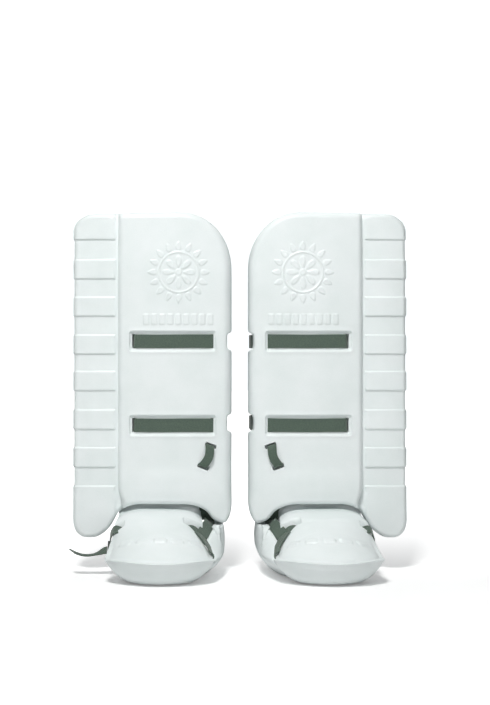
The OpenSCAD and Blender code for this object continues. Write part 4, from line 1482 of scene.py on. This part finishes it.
def add_kicker(side):
    add_foot(side, "kicker_shell_skin", merge([KICKER_SHAPE, FLARE_SHAPE]), FOAM, "kicker",
             "kicker_shell")
    add_foot(side, "kicker_liner_pad", LINER_SHAPE, CUSHION, "kicker", "kicker_liner")
    add_foot(side, "instep_strap_web", instep_strap(), WEB, "kicker", "instep_strap")
    points, faces = boxes(LOCK)
    add_foot(side, "ladder_lock_body", (from_strap_plane(points), faces), PLASTIC, "kicker",
             "ladder_lock")
    add_foot(side, "strap_tail_web", strap_tail(side), WEB, "strap_tail", "strap_tail")
    sole = ribbon(soft_path(SOLE_ROUTE, 4.0), (0, 1, 0), 28.0, 2.2)
    add_foot(side, "sole_strap_web", sole, WEB, "kicker", "sole_strap")
    heel = ribbon(soft_path(HEEL_ROUTE, 3.0), UP, 24.0, 2.4)
    add_foot(side, "heel_strap_web", heel, WEB, "heel_strap", "heel_strap")
    rivets = merge([lathe(RIVET, (0, 14, 60), (way, 0, 0)) for way in (-1, 1)])
    add_foot(side, "heel_rivets_pair", rivets, PLASTIC, "kicker", "heel_rivets")


# ------------------------------------------------------------------ build both legs
def ripple(points, height, scale, seed):
    """smooth three-dimensional unevenness"""
    random = np.random.default_rng(seed)
    out = np.zeros(len(points))
    for _ in range(7):
        way = random.normal(size=3)
        way /= np.linalg.norm(way)
        pitch = scale * random.uniform(0.6, 1.7)
        out += np.sin(points @ way * (2 * math.pi / pitch) + random.uniform(0, 6.28))
    return out * height / 3.2


RIPPLE_SEED = {"left": 11, "right": 12}
SHELL_SHAPE = guard_shell()
CORE_SHAPE = guard_core()
PADS = {"knee_cushion": cushion("knee", 481, 699, cells=4),
        "shin_cushion": cushion("shin", 191, 465, cells=5)}
KICKER_SHAPE = kicker_shell()
FLARE_SHAPE = flare()
LINER_SHAPE = liner()


def add_guard(side):
    points, faces = SHELL_SHAPE
    points = points.copy()
    uneven = ripple(points, height=0.16, scale=120, seed=RIPPLE_SEED[side])
    points[:, 1] += uneven * (points[:, 1] < -20)
    add(side, "guard_shell_skin", (points, faces), FOAM, "guard", "guard_shell")
    add(side, "guard_core_block", CORE_SHAPE, CORE, "guard", "guard_core")
    for name, shape in PADS.items():
        pad = add(side, f"{name}_pad", shape, CUSHION, "guard", name)
        soft = pad.modifiers.new("soft", "SUBSURF")
        soft.levels = soft.render_levels = 1


for leg in SIGN:
    add_guard(leg)
    add_calf_strap(leg, "upper", UPPER_Z)
    add_calf_strap(leg, "lower", LOWER_Z)
    add_ankle_strap(leg)
    for wing_name, bead_x, wing_bow in (("calf_wing_inner", BEAD_INNER, 3),
                                        ("calf_wing_outer", BEAD_OUTER, -3)):
        add(leg, f"{wing_name}_flap", calf_wing(bead_x, wing_bow), CORE, wing_name, wing_name)
    add_kicker(leg)


# ------------------------------------------------------------------ stage, light, camera
def floor_material():
    """pale floor that glows to the camera, brighter towards the back"""
    made, tree, surface = new_material("studio_floor")
    mottle = node(tree, "TexNoise", {"Scale": 2.0}).outputs["Fac"]
    place = node(tree, "TexCoord").outputs["Object"]
    depth = node(tree, "SeparateXYZ", {"Vector": place}).outputs["Y"]
    glow = node(tree, "MapRange", {"Value": depth, "From Min": -0.1, "From Max": 1.1,
                                   "To Min": 0.20, "To Max": 1.2}).outputs["Result"]
    seen = node(tree, "LightPath").outputs["Is Camera Ray"]
    feed(tree, surface, {
        "Base Color": ramp(tree, mottle, [(0.3, grey(0.90)), (0.7, grey(0.92))]),
        "Roughness": 0.9, "Specular IOR Level": 0.1, "Emission Color": (1, 1, 1, 1),
        "Emission Strength": calc(tree, "MULTIPLY", glow, seen)})
    return made


def add_floor():
    material = floor_material()
    count = 13
    rows = [[(x, y, -0.0005) for y in np.linspace(-6, 12, count)]
            for x in np.linspace(-9, 9, count)]
    points, faces = loft(rows, closed=False)
    mesh = bpy.data.meshes.new("studio_floor")
    mesh.from_pydata(points.tolist(), [], faces)
    floor = bpy.data.objects.new("studio_floor", mesh)
    mesh.materials.append(material)
    bpy.context.scene.collection.objects.link(floor)


def set_world():
    """white to the camera; as light, darker to the left and right so rounded edges turn away"""
    world = bpy.data.worlds.new("studio")
    bpy.context.scene.world = world
    world.use_nodes = True
    tree = world.node_tree
    seen = node(tree, "LightPath").outputs["Is Camera Ray"]
    # To Min is a fallback: the link below drives it
    strength = node(tree, "MapRange", {"Value": seen, "To Min": 0.205, "To Max": 1.15})
    way = node(tree, "TexCoord").outputs["Generated"]
    sideways = node(tree, "SeparateXYZ", {"Vector": way}).outputs["X"]
    light = calc(tree, "MULTIPLY", calc(tree, "ABSOLUTE", sideways), -0.38)
    light = calc(tree, "MAXIMUM", calc(tree, "ADD", light, 0.345), 0.015)
    feed(tree, strength, {"To Min": light})
    feed(tree, tree.nodes["Background"], {"Color": (0.95, 0.985, 1.0, 1),
                                          "Strength": strength.outputs["Result"]})


def add_light(name, place, target, size, power, colour=(1, 1, 1)):
    light = bpy.data.lights.new(name, "AREA")
    light.shape = "RECTANGLE"
    light.size, light.size_y = size
    light.energy = power
    light.color = colour
    lamp = bpy.data.objects.new(name, light)
    lamp.location = place
    aim = Vector(target) - Vector(place)
    lamp.rotation_euler = aim.to_track_quat("-Z", "Y").to_euler()
    bpy.context.scene.collection.objects.link(lamp)


def add_camera():
    """level camera in front of the legs, looking along +y"""
    lens = bpy.data.cameras.new("camera")
    camera = bpy.data.objects.new("camera", lens)
    scene = bpy.context.scene
    scene.collection.objects.link(camera)
    lens.sensor_fit = "AUTO"
    lens.sensor_width = 36.0
    lens.lens = 63.574468085
    lens.shift_x = 0.1205673759
    lens.clip_end = 50
    camera.location = (-0.165, (-2600 + SHIN_Y) * MM, 0.450)
    camera.rotation_euler = (math.pi / 2, 0, 0)
    scene.camera = camera


add_floor()
set_world()
add_light("key", place=(-0.5, -1.9, 3.0), target=(0, 0, 0.35), size=(0.7, 0.6), power=86,
          colour=(1.0, 0.995, 0.985))
add_light("fill", place=(0.5, -3.2, 0.35), target=(0, 0, 0.25), size=(1.8, 0.8), power=6.5)
add_light("top", place=(0.2, 0.9, 3.0), target=(0, 0, 0.2), size=(2.0, 1.2), power=7)
add_light("back", place=(0.3, 2.9, 1.5), target=(0, 0, 0.35), size=(2.2, 1.6), power=16)
add_camera()
bpy.context.scene.view_settings.view_transform = "Standard"
bpy.context.scene.view_settings.look = "None"
